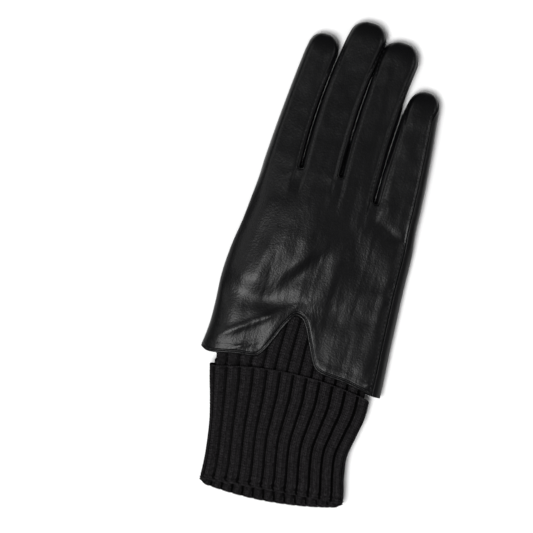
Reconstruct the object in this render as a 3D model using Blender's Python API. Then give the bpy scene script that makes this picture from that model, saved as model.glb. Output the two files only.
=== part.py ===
"""A leather dress glove for the right hand, with a ribbed knit cuff that is turned up once.

It lies palm down, with its thumb folded flat under the palm. X runs across the hand from the
index side to the little finger's side, Y runs from the cuff to the fingertips, and Z is up.
Every leather piece is drawn first as if the palm lay flat, and is then lifted by the thumb.
"""

import math

import bmesh
import bpy
from mathutils import Vector

# Leather and knit
LEATHER = 0.0012  # thickness of the leather
KNIT = 0.0023  # thickness of one layer of the knit, with its ribs
SEAM_GAP = 0.0003  # between two pieces that are sewn together

# Hand
HEM_WIDTH = 0.1168  # across the lower edge of the leather
HAND_LENGTH = 0.1265  # from the lower edge up to the root of the middle finger
HAND_HEIGHT = 0.0150  # from the palm to the back of the hand, lying flat
NOTCH_DEPTH = 0.0355  # of the open notch in the back's lower edge
NOTCH_WIDTH = 0.0390  # of the notch at the lower edge
SIDE_ROUNDING = 0.0140  # how far in from its sides the back is rounded
PALM_ROUNDING = 0.0050  # how far in from its edges the palm is rounded
ROOT_BLEND = 0.80  # share of the hand's length from which it takes on the fingers' form

# Fingers, from the root of the middle finger's side to the tips
INDEX_LENGTH = 0.0840
MIDDLE_LENGTH = 0.0984
RING_LENGTH = 0.0917
LITTLE_LENGTH = 0.0660
FINGER_HEIGHT = 0.0125
TIP_ROUNDING = 0.0140  # length of the rounded end of a finger
TIP_FULLNESS = 2.4  # 2 gives a half ellipse, more gives a squarer fingertip
TIP_SLOT = 0.0008  # height of the last section of a fingertip

# Thumb, folded flat between the palm and what the glove lies on
THUMB_LENGTH = 0.1170
THUMB_WIDTH = 0.0490
THUMB_HEIGHT = 0.0092
THUMB_START = 0.0315  # from the lower edge of the leather to the foot of the thumb
THUMB_LEAN = 0.0270  # how far the thumb's tip leans towards the little finger
THUMB_FALL = 0.0180  # over this length the palm falls from the thumb to the ground
THUMB_LEDGE = 0.0027  # part of that length on which the palm still lies as high as on the thumb
THUMB_HOLE_WIDTH = 0.0220  # of the oval hole where the thumb joins the palm
THUMB_HOLE_LENGTH = 0.0440

# Cuff
CUFF_TOP_WIDTH = 0.1020  # of the turned-up layer at its free edge
CUFF_TURN = 0.0720  # length of the turned-up layer
CUFF_DROP = 0.0035  # from the leather's lower edge down to the free edge of the turned-up layer
CUFF_INSIDE = 0.0430  # length of the knit that reaches up inside the back
CUFF_UNDER = 0.0120  # length of the knit that reaches in over the palm
CUFF_HEIGHT = 0.0160  # of the whole cuff, lying flat
LAYER_GAP = 0.0005  # between the tube and its turned-up layer
CUFF_CLEARANCE = 0.0004  # between the knit tube and the leather round it
CUFF_SIDE_ROOM = 0.0031  # of the knit tube from the rounded sides of the leather
HOLLOW_DEPTH = 0.0012  # of the deepest hollow in the leather over the knit
RIBS = 26
RIB_RELIEF = 0.0009

# Angles round a finger's section, in degrees: 0 is its side towards the little finger, 90 its top
BACK_SEAM = 32.0
PALM_SEAM = 20.0
INDEX_SIDE_SEAM = 50.0  # below the index finger's outer side, because the back wraps round it
LITTLE_SIDE_SEAM = 48.0  # above the little finger's outer side, because the palm wraps round it
SEAM_CLOSING = 0.72  # share of these angles that is lost where a strip between fingers ends
CLOSING_START = 0.60  # share of a finger's length from which they close

# How finely the pieces are divided
FINGER_CELLS = 6
HAND_ROWS = 10
FINGER_STATIONS = (0.10, 0.24, 0.40, 0.56, 0.71)  # shares of a finger's length below its rounding
TIP_STATIONS = (0.0, 0.42, 0.72, 0.95)  # shares of its rounded end
WALL_CELLS = 2
THUMB_SIDES = 20
THUMB_ROWS = 12
RIB_POINTS = (0.0, 0.24, 0.76)  # across one rib: its groove and its two shoulders
HOLE_SIDES = 28

# The hand's sides: share of the hand's length, then the distance of each side from the middle
# line, as a share of the lower edge's width
HAND_SIDES = (
    # height, index side, little finger's side
    (0.00, -0.500, 0.500),
    (0.12, -0.487, 0.492),
    (0.24, -0.489, 0.482),
    (0.38, -0.498, 0.473),
    (0.53, -0.489, 0.463),
    (0.67, -0.468, 0.458),
    (0.82, -0.455, 0.449),
    (1.00, -0.447, 0.436),
)

# The web between two fingers: its place across and its height, as shares of the lower edge's
# width and of the hand's length
WEBS = (
    # across, height
    (-0.2435, 0.995),
    (-0.0265, 1.005),
    (0.1840, 0.925),
)
OUTER_ROOTS = (0.970, 0.880)  # height of the two outer fingers' roots at the hand's sides

# Each finger's middle line and half width, as shares of the lower edge's width, at the root,
# half way and where the tip's rounding starts
FINGERS = (
    # length, root (middle, half), half way (middle, half), shoulder (middle, half)
    (INDEX_LENGTH, (-0.3475, 0.0990), (-0.3375, 0.0898), (-0.3085, 0.0860)),
    (MIDDLE_LENGTH, (-0.1350, 0.1045), (-0.1340, 0.1058), (-0.0960, 0.1045)),
    (RING_LENGTH, (0.0790, 0.1010), (0.0780, 0.1010), (0.1020, 0.1050)),
    (LITTLE_LENGTH, (0.3130, 0.1220), (0.2990, 0.1120), (0.2920, 0.0880)),
)

# The lower edge of the back: place across as a share of the width, then height as a share of
# the notch's depth
HEM_CURVE = (
    # across the whole width, height
    (-0.50, 0.04),
    (-0.46, -0.02),
    (-0.30, 0.08),
)
HEM_RIGHT = (
    (0.30, 0.10),
    (0.46, 0.00),
    (0.50, -0.03),
)
# The notch: place across as a share of its width, then height as a share of its depth
NOTCH_MIDDLE = -0.032  # where the notch's top lies, as a share of the lower edge's width
NOTCH_CURVE = (
    (-0.60, 0.11),
    (-0.46, 0.17),
    (-0.34, 0.42),
    (-0.18, 0.80),
    (-0.05, 1.00),
    (0.04, 1.00),
    (0.15, 0.86),
    (0.30, 0.50),
    (0.44, 0.22),
    (0.58, 0.14),
)

# Broad hollows and rises of the back: place as shares of the width and of the hand's length,
# reach across and along as shares of the same sizes, then the depth as a share of the height
BACK_FOLDS = (
    # across, along, reach across, reach along, rise
    (0.30, 0.80, 0.09, 0.10, -0.09),
    (-0.02, 0.62, 0.22, 0.20, 0.10),
    (-0.28, 0.22, 0.16, 0.09, 0.07),
    (0.12, 0.40, 0.10, 0.12, -0.07),
    (0.28, 0.22, 0.14, 0.10, 0.05),
)

# The thumb lying flat: share of its length, its middle line as a share of its lean, and its
# half width as a share of its width
THUMB_SECTIONS = (
    # along, middle, half width
    (0.00, 0.00, 0.08),
    (0.10, -0.02, 0.21),
    (0.24, 0.06, 0.34),
    (0.37, 0.16, 0.44),
    (0.50, 0.27, 0.50),
    (0.63, 0.48, 0.48),
    (0.76, 0.74, 0.44),
    (0.87, 0.92, 0.385),
    (0.95, 1.02, 0.27),
    (1.00, 1.06, 0.10),
)
THUMB_FOOT = -0.262  # where the thumb's foot lies, as a share of the lower edge's width
THUMB_HOLE_PLACE = (0.29, 0.30)  # share of the thumb's length, and of its lean
THUMB_HOLE_TURN = -14.0  # degrees

# The cuff's sides: share of the turned-up length below its free edge, then the two sides as
# shares of the width at its free edge
CUFF_SIDES = (
    # below the free edge, index side, little finger's side
    (-0.66, -0.500, 0.500),
    (-0.04, -0.500, 0.518),
    (0.15, -0.470, 0.522),
    (0.34, -0.430, 0.500),
    (0.52, -0.396, 0.482),
    (0.70, -0.374, 0.500),
    (0.86, -0.360, 0.528),
    (1.00, -0.354, 0.540),
    (1.14, -0.352, 0.540),
)
# Heights at the index side, in the middle and at the little finger's side, as shares of the
# turned-up length
FREE_EDGE = (-0.12, 0.050, 0.0)
UPPER_FOLD = (-1.055, -0.975, -0.915)
LOWER_FOLD = (-1.065, -1.085, -0.945)
FREE_EDGE_UNDER = (-0.06, -0.03, -0.03)  # the same for the turned-up layer underneath


def smoothstep(share):
    share = min(max(share, 0.0), 1.0)
    return share * share * (3 - 2 * share)


def mix(first, second, share):
    return first + (second - first) * share


def read_table(table, place, column):
    """The value of one column at a place between the table's rows, on a smooth curve."""
    places = [row[0] for row in table]
    if place <= places[0]:
        return table[0][column]
    if place >= places[-1]:
        return table[-1][column]
    after = next(number for number, value in enumerate(places) if value > place)
    before = after - 1
    span = places[after] - places[before]
    share = (place - places[before]) / span
    slopes = []
    for number in (before, after):
        low = max(number - 1, 0)
        high = min(number + 1, len(table) - 1)
        rise = table[high][column] - table[low][column]
        slopes.append(rise / (places[high] - places[low]) * span)
    start, end = table[before][column], table[after][column]
    turn = slopes[0] * share + (3 * (end - start) - 2 * slopes[0] - slopes[1]) * share**2
    return start + turn + (2 * (start - end) + slopes[0] + slopes[1]) * share**3


def three_point(values, share):
    """A value on the parabola through three values at shares 0, 0.5 and 1."""
    first, middle, last = values
    bend = 2 * (first + last - 2 * middle)
    return first + (last - first - bend) * share + bend * share**2


def hand_side(height, column):
    """Distance of one side of the hand from the middle line, at a share of its length."""
    return HEM_WIDTH * read_table(HAND_SIDES, height, column)


def hem_height(across):
    """Height of the back's lower edge, at a share of the width."""
    notch_share = NOTCH_WIDTH / HEM_WIDTH
    curve = list(HEM_CURVE)
    for place, height in NOTCH_CURVE:
        curve.append((NOTCH_MIDDLE + place * notch_share, height))
    curve += HEM_RIGHT
    return NOTCH_DEPTH * read_table(curve, across, 1)


def thumb_section(along):
    """The thumb's middle line and half width, at a share of its length."""
    middle = HEM_WIDTH * THUMB_FOOT + THUMB_LEAN * read_table(THUMB_SECTIONS, along, 1)
    return middle, THUMB_WIDTH * read_table(THUMB_SECTIONS, along, 2)


def lift(x, y):
    """How far the thumb underneath lifts the glove at a place."""
    along = (y - THUMB_START) / THUMB_LENGTH
    middle, half = thumb_section(along)
    beside = max(abs(x - middle) - half, 0.0)
    beyond = max(y - THUMB_START - THUMB_LENGTH, THUMB_START - y, 0.0)
    away = (math.hypot(beside, beyond) - THUMB_LEDGE) / THUMB_FALL
    return (THUMB_HEIGHT + SEAM_GAP) * (1 - smoothstep(away))


def rounded(distance, reach):
    """0 at an edge, rising along a quarter ellipse to 1 at the reach."""
    left = 1 - min(max(distance / reach, 0.0), 1.0)
    return math.sqrt(1 - left * left)


def across_section(angle):
    """Place across a section, from -1 to 1, of a point at an angle round it."""
    cosine = math.cos(math.radians(angle))
    if math.sin(math.radians(angle)) >= 0:
        return cosine
    return math.copysign(abs(cosine) ** 0.6, cosine)


def height_share(distance, half, angle):
    """Height of a point as a share of its section's, from its distance to the nearest side."""
    if math.sin(math.radians(angle)) >= 0:
        return 0.5 + 0.5 * rounded(distance, half)
    return 0.5 - 0.5 * rounded(distance, min(PALM_ROUNDING, half))


class Finger:
    """One finger's sections. Depth 0 is the leather's outer face and depth 1 its inner face."""

    def __init__(self, number):
        self.number = number
        self.length, *self.stations = FINGERS[number]
        self.web_heights = [self.web_height(number - 1), self.web_height(number)]

    def web_height(self, web):
        if web < 0:
            return OUTER_ROOTS[0] * HAND_LENGTH
        if web >= len(WEBS):
            return OUTER_ROOTS[1] * HAND_LENGTH
        return WEBS[web][1] * HAND_LENGTH

    def shoulder(self):
        """Share of the length at which the tip's rounding starts."""
        return 1 - TIP_ROUNDING / self.length

    def rows(self):
        straight = [share * self.shoulder() / 0.80 for share in FINGER_STATIONS]
        return straight + [mix(self.shoulder(), 1.0, share) for share in TIP_STATIONS]

    def tip_share(self, along):
        """1 up to the rounded end, then shrinking along a full curve."""
        into_tip = max(along - self.shoulder(), 0.0) / (1 - self.shoulder())
        return max(1 - into_tip**TIP_FULLNESS, 0.0) ** (1 / TIP_FULLNESS)

    def half_width(self, along, depth):
        share = min(along / self.shoulder(), 1.0)
        half = HEM_WIDTH * three_point([station[1] for station in self.stations], share)
        return (half - depth * LEATHER) * self.tip_share(along)

    def middle(self, along):
        share = along / self.shoulder()
        return HEM_WIDTH * three_point([station[0] for station in self.stations], min(share, 1.05))

    def height(self, along, depth):
        if along > 0.999:
            return TIP_SLOT
        return mix(TIP_SLOT, FINGER_HEIGHT - 2 * depth * LEATHER, self.tip_share(along))

    def seam_angle(self, along, full):
        """A seam's angle above or below the side, closing as the strip between fingers ends."""
        closed = math.degrees(math.asin(min(SEAM_GAP / self.height(along, 0), 0.9)))
        last = self.shoulder() + (1 - self.shoulder()) * TIP_STATIONS[1]
        closing = smoothstep((along - CLOSING_START) / (last - CLOSING_START))
        fade = 1 - closing * SEAM_CLOSING
        return closed if along > last + 1e-6 else closed + full * fade

    def point(self, along, angle, depth):
        middle, half = self.middle(along), self.half_width(along, depth)
        across = across_section(angle)
        x = middle + half * across
        root = mix(self.web_heights[0], self.web_heights[1], (across + 1) / 2) - depth * LEATHER
        y = mix(root, HAND_LENGTH + self.length - depth * LEATHER, along)
        tall = self.height(along, depth)
        share = height_share(half * (1 - abs(across)), half, angle)
        z = FINGER_HEIGHT / 2 + tall * (share - 0.5)
        return Vector((x, y, z))


HAND = [Finger(number) for number in range(len(FINGERS))]


def back_angles(finger, along):
    """The back piece's two seams on a finger, from the index side to the little finger's."""
    gap = math.degrees(SEAM_GAP / (0.5 * finger.height(along, 0)))
    seam = finger.seam_angle(along, BACK_SEAM)
    left = 180 - seam
    right = seam
    if finger.number == 0:
        left = 180 + finger.seam_angle(along, INDEX_SIDE_SEAM) - 2 * gap
    if finger.number == len(HAND) - 1:
        right = finger.seam_angle(along, LITTLE_SIDE_SEAM) + gap
    return left, right


def palm_angles(finger, along):
    """The palm piece's two seams on a finger, round the underside."""
    seam = finger.seam_angle(along, PALM_SEAM)
    left = 180 + seam
    right = 360 - seam
    if finger.number == 0:
        left = 180 + finger.seam_angle(along, INDEX_SIDE_SEAM)
    if finger.number == len(HAND) - 1:
        right = 360 + finger.seam_angle(along, LITTLE_SIDE_SEAM)
    return left, right


class Panel:
    """The back or the palm: a comb of columns over the hand, with four prongs for the fingers."""

    def __init__(self, angles, hem, folds):
        self.angles = angles
        self.hem = hem
        self.folds = folds
        self.columns = []
        for finger in HAND:
            for cell in range(FINGER_CELLS + 1):
                self.columns.append((finger, cell / FINGER_CELLS))
            if finger is not HAND[-1]:
                self.columns.append((finger, None))

    def angle(self, finger, share, along):
        left, right = self.angles(finger, along)
        return mix(left, right, share)

    def root(self, finger, share, depth):
        """A point of the row at the fingers' roots. Between two fingers it is the web's middle."""
        if share is not None:
            return finger.point(0.0, self.angle(finger, share, 0.0), depth)
        before = self.root(finger, 1.0, depth)
        after = self.root(HAND[finger.number + 1], 0.0, depth)
        middle = (before + after) / 2
        middle.y -= (after.x - before.x) / 3
        return middle

    def on_top(self, finger, share):
        seam_side = 1.0 if share is None else share
        return math.sin(math.radians(self.angle(finger, seam_side, 0.0))) >= 0

    def hand_point(self, finger, share, up, depth):
        """A point of the hand, at a share of the way from the lower edge to the fingers' roots."""
        root = self.root(finger, share, depth)
        left = hand_side(1.0, 1) + depth * LEATHER
        right = hand_side(1.0, 2) - depth * LEATHER
        across = (root.x - left) / (right - left)
        y = mix(self.hem(across - 0.5), root.y, up)
        height = y / HAND_LENGTH
        left = hand_side(height, 1) + depth * LEATHER
        right = hand_side(height, 2) - depth * LEATHER
        x = mix(left, right, across)
        angle = 90.0 if self.on_top(finger, share) else -90.0
        distance = min(x - left, right - x)
        whole = mix(HAND_HEIGHT, FINGER_HEIGHT, smoothstep(height))
        tall = whole - 2 * depth * LEATHER
        z = depth * LEATHER + tall * height_share(distance, SIDE_ROUNDING, angle)
        to_fingers = (up - ROOT_BLEND) / (1 - ROOT_BLEND)
        z = mix(z, root.z, smoothstep(to_fingers))
        if self.folds and angle > 0:
            calm = min(1 - to_fingers, 1)
            z += self.fold_rise(x, y) * rounded(distance, SIDE_ROUNDING) * calm
        return Vector((x, y, z))

    def fold_rise(self, x, y):
        total = 0.0
        for across, along, reach_x, reach_y, rise in BACK_FOLDS:
            side = (x / HEM_WIDTH - across) / reach_x
            ahead = (y / HAND_LENGTH - along) / reach_y
            total += rise * HAND_HEIGHT * math.exp(-side * side - ahead * ahead)
        return total

    def point(self, column, row, depth):
        finger, share = self.columns[column]
        if row <= HAND_ROWS:
            return self.hand_point(finger, share, row / HAND_ROWS, depth)
        along = finger.rows()[row - HAND_ROWS - 1]
        return finger.point(along, self.angle(finger, share, along), depth)

    def in_comb(self, columns, rows):
        """Whether a cell of the grid belongs to the panel: between the fingers it is open."""
        web = any(self.columns[column][1] is None for column in columns)
        return not (web and max(rows) > HAND_ROWS)


def lifted(point):
    return Vector((point.x, point.y, point.z + lift(point.x, point.y)))


def add_object(name, mesh, material, collection):
    obj = bpy.data.objects.new(name, mesh)
    collection.objects.link(obj)
    if material:
        mesh.materials.append(material)
    mesh.shade_smooth()
    mesh.set_sharp_from_angle(angle=math.radians(50))
    return obj


def grid_sheet(columns, rows, keep):
    """A flat grid whose points know their column and row, without the cells that aren't kept."""
    sheet = bmesh.new()
    column_layer = sheet.verts.layers.int.new("column")
    row_layer = sheet.verts.layers.int.new("row")
    bmesh.ops.create_grid(sheet, x_segments=columns - 1, y_segments=rows - 1, size=0.5)
    for vert in sheet.verts:
        vert[column_layer] = round((vert.co.x + 0.5) * (columns - 1))
        vert[row_layer] = round((vert.co.y + 0.5) * (rows - 1))
    left_out = []
    for face in sheet.faces:
        face_columns = [vert[column_layer] for vert in face.verts]
        face_rows = [vert[row_layer] for vert in face.verts]
        if not keep(face_columns, face_rows):
            left_out.append(face)
    bmesh.ops.delete(sheet, geom=left_out, context="FACES")
    return sheet, column_layer, row_layer


def walled_mesh(name, columns, rows, keep, place):
    """A sheet with its leather's thickness: place gives each point for its outer or inner face."""
    sheet, column_layer, row_layer = grid_sheet(columns, rows, keep)
    outer = list(sheet.verts)
    copied = bmesh.ops.extrude_face_region(sheet, geom=sheet.faces[:], use_keep_orig=True)
    inner = [item for item in copied["geom"] if isinstance(item, bmesh.types.BMVert)]
    for depth, verts in enumerate((outer, inner)):
        for vert in verts:
            vert.co = lifted(place(vert[column_layer], vert[row_layer], depth))
    bmesh.ops.recalc_face_normals(sheet, faces=sheet.faces[:])
    mesh = bpy.data.meshes.new(name)
    sheet.to_mesh(mesh)
    sheet.free()
    return mesh


def make_panel(name, panel, material, collection):
    rows = HAND_ROWS + 1 + len(FINGER_STATIONS) + len(TIP_STATIONS)
    mesh = walled_mesh(name, len(panel.columns), rows, panel.in_comb, panel.point)
    return add_object(name, mesh, material, collection)


def fourchette_path(first, second):
    """Stops of the strip between two fingers: down the first, round the web, up the second."""
    last = len(FINGER_STATIONS) + 2
    down = [(first, 1.0, along) for along in reversed(first.rows()[:last])]
    up = [(second, 0.0, along) for along in second.rows()[:last]]
    return down + [(first, 1.0, 0.0), (first, None, 0.0), (second, 0.0, 0.0)] + up


def make_fourchette(name, first, second, back, palm, material, collection):
    path = fourchette_path(first, second)

    def finger_point(finger, side, along, up, depth):
        gap = math.degrees(SEAM_GAP / (0.5 * finger.height(along, 0)))
        top = finger.seam_angle(along, BACK_SEAM) - gap
        low = -finger.seam_angle(along, PALM_SEAM) + 1.6 * gap
        angle = mix(low, top, up)
        return finger.point(along, angle if side == 1.0 else 180 - angle, depth)

    def place(column, row, depth):
        finger, side, along = path[column]
        up = row / WALL_CELLS
        if side is not None:
            return finger_point(finger, side, along, up, depth)
        above = back.root(finger, None, depth)
        below = palm.root(finger, None, depth)
        clear = SEAM_GAP / (above.z - below.z)
        return below.lerp(above, mix(clear, 1 - clear, up))

    mesh = walled_mesh(name, len(path), WALL_CELLS + 1, lambda columns, rows: True, place)
    return add_object(name, mesh, material, collection)


def thumb_solid(name, depth):
    """The thumb's closed outer form, or with depth 1 the hollow inside it."""
    sheet, column_layer, row_layer = grid_sheet(THUMB_SIDES + 1, THUMB_ROWS + 1, lambda c, r: True)
    for vert in sheet.verts:
        angle = 360 * (vert[column_layer] % THUMB_SIDES) / THUMB_SIDES
        turn = math.pi * vert[row_layer] / THUMB_ROWS
        along = 0.5 - 0.5 * math.cos(turn)
        middle, half = thumb_section(along)
        half -= depth * LEATHER * min(1, half / (2 * LEATHER))
        ends = rounded(min(along, 1 - along) + 0.004, 0.14)
        tall = THUMB_HEIGHT * ends - depth * 2 * LEATHER * min(1, ends * 1.1)
        across = across_section(angle)
        share = height_share(half * (1 - abs(across)), half, angle)
        length = THUMB_LENGTH - 2 * depth * LEATHER
        y = THUMB_START + depth * LEATHER + length * along
        z = THUMB_HEIGHT / 2 + tall * (share - 0.5)
        vert.co = Vector((middle + half * across, y, z))
    bmesh.ops.remove_doubles(sheet, verts=sheet.verts[:], dist=1e-6)
    bmesh.ops.holes_fill(sheet, edges=sheet.edges[:], sides=0)
    bmesh.ops.recalc_face_normals(sheet, faces=sheet.faces[:])
    mesh = bpy.data.meshes.new(name)
    sheet.to_mesh(mesh)
    sheet.free()
    return mesh


def hole_cutter(name, low, high, collection):
    """An oval post that cuts the hole where the thumb joins the palm."""
    post = bmesh.new()
    bmesh.ops.create_cone(
        post, cap_ends=True, segments=HOLE_SIDES, radius1=0.5, radius2=0.5, depth=high - low
    )
    mesh = bpy.data.meshes.new(name)
    post.to_mesh(mesh)
    post.free()
    cutter = add_object(name, mesh, None, collection)
    middle = HEM_WIDTH * THUMB_FOOT + THUMB_LEAN * THUMB_HOLE_PLACE[1]
    along = THUMB_START + THUMB_LENGTH * THUMB_HOLE_PLACE[0]
    cutter.location = (middle, along, (low + high) / 2)
    cutter.rotation_euler.z = math.radians(THUMB_HOLE_TURN)
    cutter.scale = (THUMB_HOLE_WIDTH, THUMB_HOLE_LENGTH, 1.0)
    return cutter


def as_cutter(obj):
    obj.hide_render = True
    obj.display_type = "WIRE"
    return obj


def cut(obj, cutter):
    modifier = obj.modifiers.new("cut " + cutter.name, "BOOLEAN")
    modifier.operation = "DIFFERENCE"
    modifier.solver = "EXACT"
    modifier.object = as_cutter(cutter)


def make_thumb(material, collection, cutters):
    thumb = add_object("thumb", thumb_solid("thumb", 0), material, collection)
    cut(thumb, add_object("thumb_hollow", thumb_solid("thumb_hollow", 1), None, cutters))
    cut(thumb, hole_cutter("thumb_hole", THUMB_HEIGHT / 2, THUMB_HEIGHT * 1.5, cutters))
    return thumb


def cuff_box(y):
    """Left, right, low and high of the cuff's outermost face at a place along it."""
    below = -(y + CUFF_DROP) / CUFF_TURN
    left = CUFF_TOP_WIDTH * read_table(CUFF_SIDES, below, 1)
    right = CUFF_TOP_WIDTH * read_table(CUFF_SIDES, below, 2)
    layers = KNIT + LAYER_GAP
    height = max(y, 0.0) / HAND_LENGTH
    room = CUFF_SIDE_ROOM + CUFF_CLEARANCE - layers
    hand_left = hand_side(height, 1) + room
    hand_right = hand_side(height, 2) - room
    inside = smoothstep(y / (CUFF_INSIDE / 2))
    left = mix(left, max(left, hand_left), inside)
    right = mix(right, min(right, hand_right), inside)
    whole = mix(HAND_HEIGHT, FINGER_HEIGHT, smoothstep(height))
    low = mix(0.0, LEATHER + CUFF_CLEARANCE - layers, inside)
    top = whole - LEATHER - CUFF_CLEARANCE - HOLLOW_DEPTH + layers
    return left, right, low, mix(CUFF_HEIGHT, top, inside)


def stadium_point(box, share, depth):
    """A point and its outward direction on a flattened tube, at a share of the way round it."""
    left, right, low, high = box
    left, right, low, high = left + depth, right - depth, low + depth, high - depth
    radius = (high - low) / 2
    flat = right - left - 2 * radius
    middle = (left + right) / 2
    centre = (low + high) / 2
    walked = share * (2 * flat + 2 * math.pi * radius)
    for corner in range(2):
        side = 1 - 2 * corner
        if walked <= flat:
            place = middle + side * (walked - flat / 2)
            return place, centre - side * radius, 0.0, -side
        walked -= flat
        if walked <= math.pi * radius:
            turn = walked / radius
            out = side * math.sin(turn)
            up = -side * math.cos(turn)
            return middle + side * flat / 2 + radius * out, centre + radius * up, out, up
        walked -= math.pi * radius
    return middle - flat / 2, centre - radius, 0.0, -1.0


def cuff_stations():
    """The knit wall's profile: down inside, round the fold, up outside, and back between."""
    inner = 2 * KNIT + LAYER_GAP
    bend = inner / 2
    slot = LAYER_GAP / 2
    inside = [(share, "top") for share in (1.0, 0.8, 0.6, 0.4, 0.2, 0.0)]
    turned = [0.10, 0.36, 0.62, 0.86]
    stations = [(place, kind, inner, 0.0) for place, kind in inside]
    stations += [(share, "turn", inner, 0.0) for share in turned]
    for angle in (0, 36, 72, 108, 144, 180):
        along = bend * math.sin(math.radians(angle))
        stations.append((bend - along, "fold", bend + bend * math.cos(math.radians(angle)), 0.5))
    stations += [(share, "turn", 0.0, 1.0) for share in reversed(turned[1:])]
    stations += [(0.04, "turn", 0.0, 1.0), (0.0, "turn", 0.25 * KNIT, 0.6)]
    stations += [(0.0, "turn", 0.75 * KNIT, 0.0), (0.04, "turn", KNIT, 0.0)]
    stations += [(share, "turn", KNIT, 0.0) for share in turned[1:]]
    for angle in (180, 90, 0):
        along = slot * math.sin(math.radians(angle))
        stations.append((bend - along, "fold", bend + slot * math.cos(math.radians(angle)), 0.0))
    stations += [(share, "turn", KNIT + LAYER_GAP, 1.0) for share in reversed(turned)]
    stations += [(place, kind, KNIT + LAYER_GAP, 1.0) for place, kind in reversed(inside)]
    return stations


def cuff_point(station, share, groove):
    place, kind, depth, ribbed = station
    guide = stadium_point(cuff_box(-CUFF_TURN / 2), share, depth)
    across = min(max(guide[0] / CUFF_TOP_WIDTH + 0.5, 0.0), 1.0)
    upper = smoothstep((guide[3] + 1) / 2)
    edge = mix(three_point(FREE_EDGE_UNDER, across), three_point(FREE_EDGE, across), upper)
    free = CUFF_TURN * edge - CUFF_DROP
    fold = mix(three_point(LOWER_FOLD, across), three_point(UPPER_FOLD, across), upper)
    fold = CUFF_TURN * fold - CUFF_DROP
    if kind == "top":
        y = place * mix(CUFF_UNDER, CUFF_INSIDE, upper)
    elif kind == "fold":
        y = fold + place
    else:
        y = mix(free, fold + KNIT, place)
    x, z, out, up = stadium_point(cuff_box(y), share, depth)
    sink = RIB_RELIEF * ribbed * groove
    return Vector((x - sink * out, y, z - sink * up))


def make_cuff(material, collection):
    stations = cuff_stations()
    around = RIBS * len(RIB_POINTS)
    sheet, column_layer, row_layer = grid_sheet(around + 1, len(stations) + 1, lambda c, r: True)
    for vert in sheet.verts:
        column = vert[column_layer] % around
        rib, part = divmod(column, len(RIB_POINTS))
        share = (rib + RIB_POINTS[part]) / RIBS
        groove = 1.0 if part == 0 else 0.0
        vert.co = lifted(cuff_point(stations[vert[row_layer] % len(stations)], share, groove))
    bmesh.ops.remove_doubles(sheet, verts=sheet.verts[:], dist=1e-6)
    bmesh.ops.recalc_face_normals(sheet, faces=sheet.faces[:])
    mesh = bpy.data.meshes.new("knit_cuff")
    sheet.to_mesh(mesh)
    sheet.free()
    return add_object("knit_cuff", mesh, material, collection)


def make_material(name, colour, roughness):
    material = bpy.data.materials.new(name)
    material.use_nodes = True
    shader = material.node_tree.nodes["Principled BSDF"]
    shader.inputs["Base Color"].default_value = (*colour, 1.0)
    shader.inputs["Roughness"].default_value = roughness
    shader.inputs["Metallic"].default_value = 0.0
    return material


def centre_on_origin(collection):
    """Moves the whole glove so that the middle of its box stands on the origin."""
    corners = [vert.co for obj in collection.objects for vert in obj.data.vertices]
    low = [min(corner[axis] for corner in corners) for axis in range(3)]
    high = [max(corner[axis] for corner in corners) for axis in range(3)]
    move = Vector((-(low[0] + high[0]) / 2, -(low[1] + high[1]) / 2, -low[2]))
    for obj in bpy.data.objects:
        obj.location += move


def main():
    for obj in list(bpy.data.objects):
        bpy.data.objects.remove(obj, do_unlink=True)
    glove = bpy.data.collections.new("knit_cuff_glove")
    cutters = bpy.data.collections.new("cutters")
    bpy.context.scene.collection.children.link(glove)
    bpy.context.scene.collection.children.link(cutters)
    leather_colour = (0.011, 0.011, 0.012)
    back = Panel(back_angles, hem_height, True)
    palm = Panel(palm_angles, lambda across: 0.0, False)
    make_panel("back_panel", back, make_material("back_leather", leather_colour, 0.42), glove)
    palm_leather = make_material("palm_leather", leather_colour, 0.46)
    palm_object = make_panel("palm_panel", palm, palm_leather, glove)
    top = THUMB_HEIGHT + HAND_HEIGHT / 2
    cut(palm_object, hole_cutter("palm_hole", THUMB_HEIGHT / 2, top, cutters))
    names = ("fourchette_index_middle", "fourchette_middle_ring", "fourchette_ring_little")
    for name, first, second in zip(names, HAND, HAND[1:]):
        strip_leather = make_material(name + "_leather", leather_colour, 0.5)
        make_fourchette(name, first, second, back, palm, strip_leather, glove)
    make_thumb(make_material("thumb_leather", leather_colour, 0.44), glove, cutters)
    make_cuff(make_material("ribbed_knit", (0.014, 0.013, 0.014), 0.92), glove)
    centre_on_origin(glove)


main()
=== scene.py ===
# %% [markdown]
# A black leather dress glove with a ribbed knit cuff, lying palm down. This lesson dresses the
# imported solids of the glove: it keeps their sizes and places, and gives every surface its folds,
# seams, stitches and finish. The first cell loads the solids as a fixed frame.

# %% Load the frame
import math

import bmesh
import bpy
from mathutils import Matrix, Vector, noise


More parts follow.
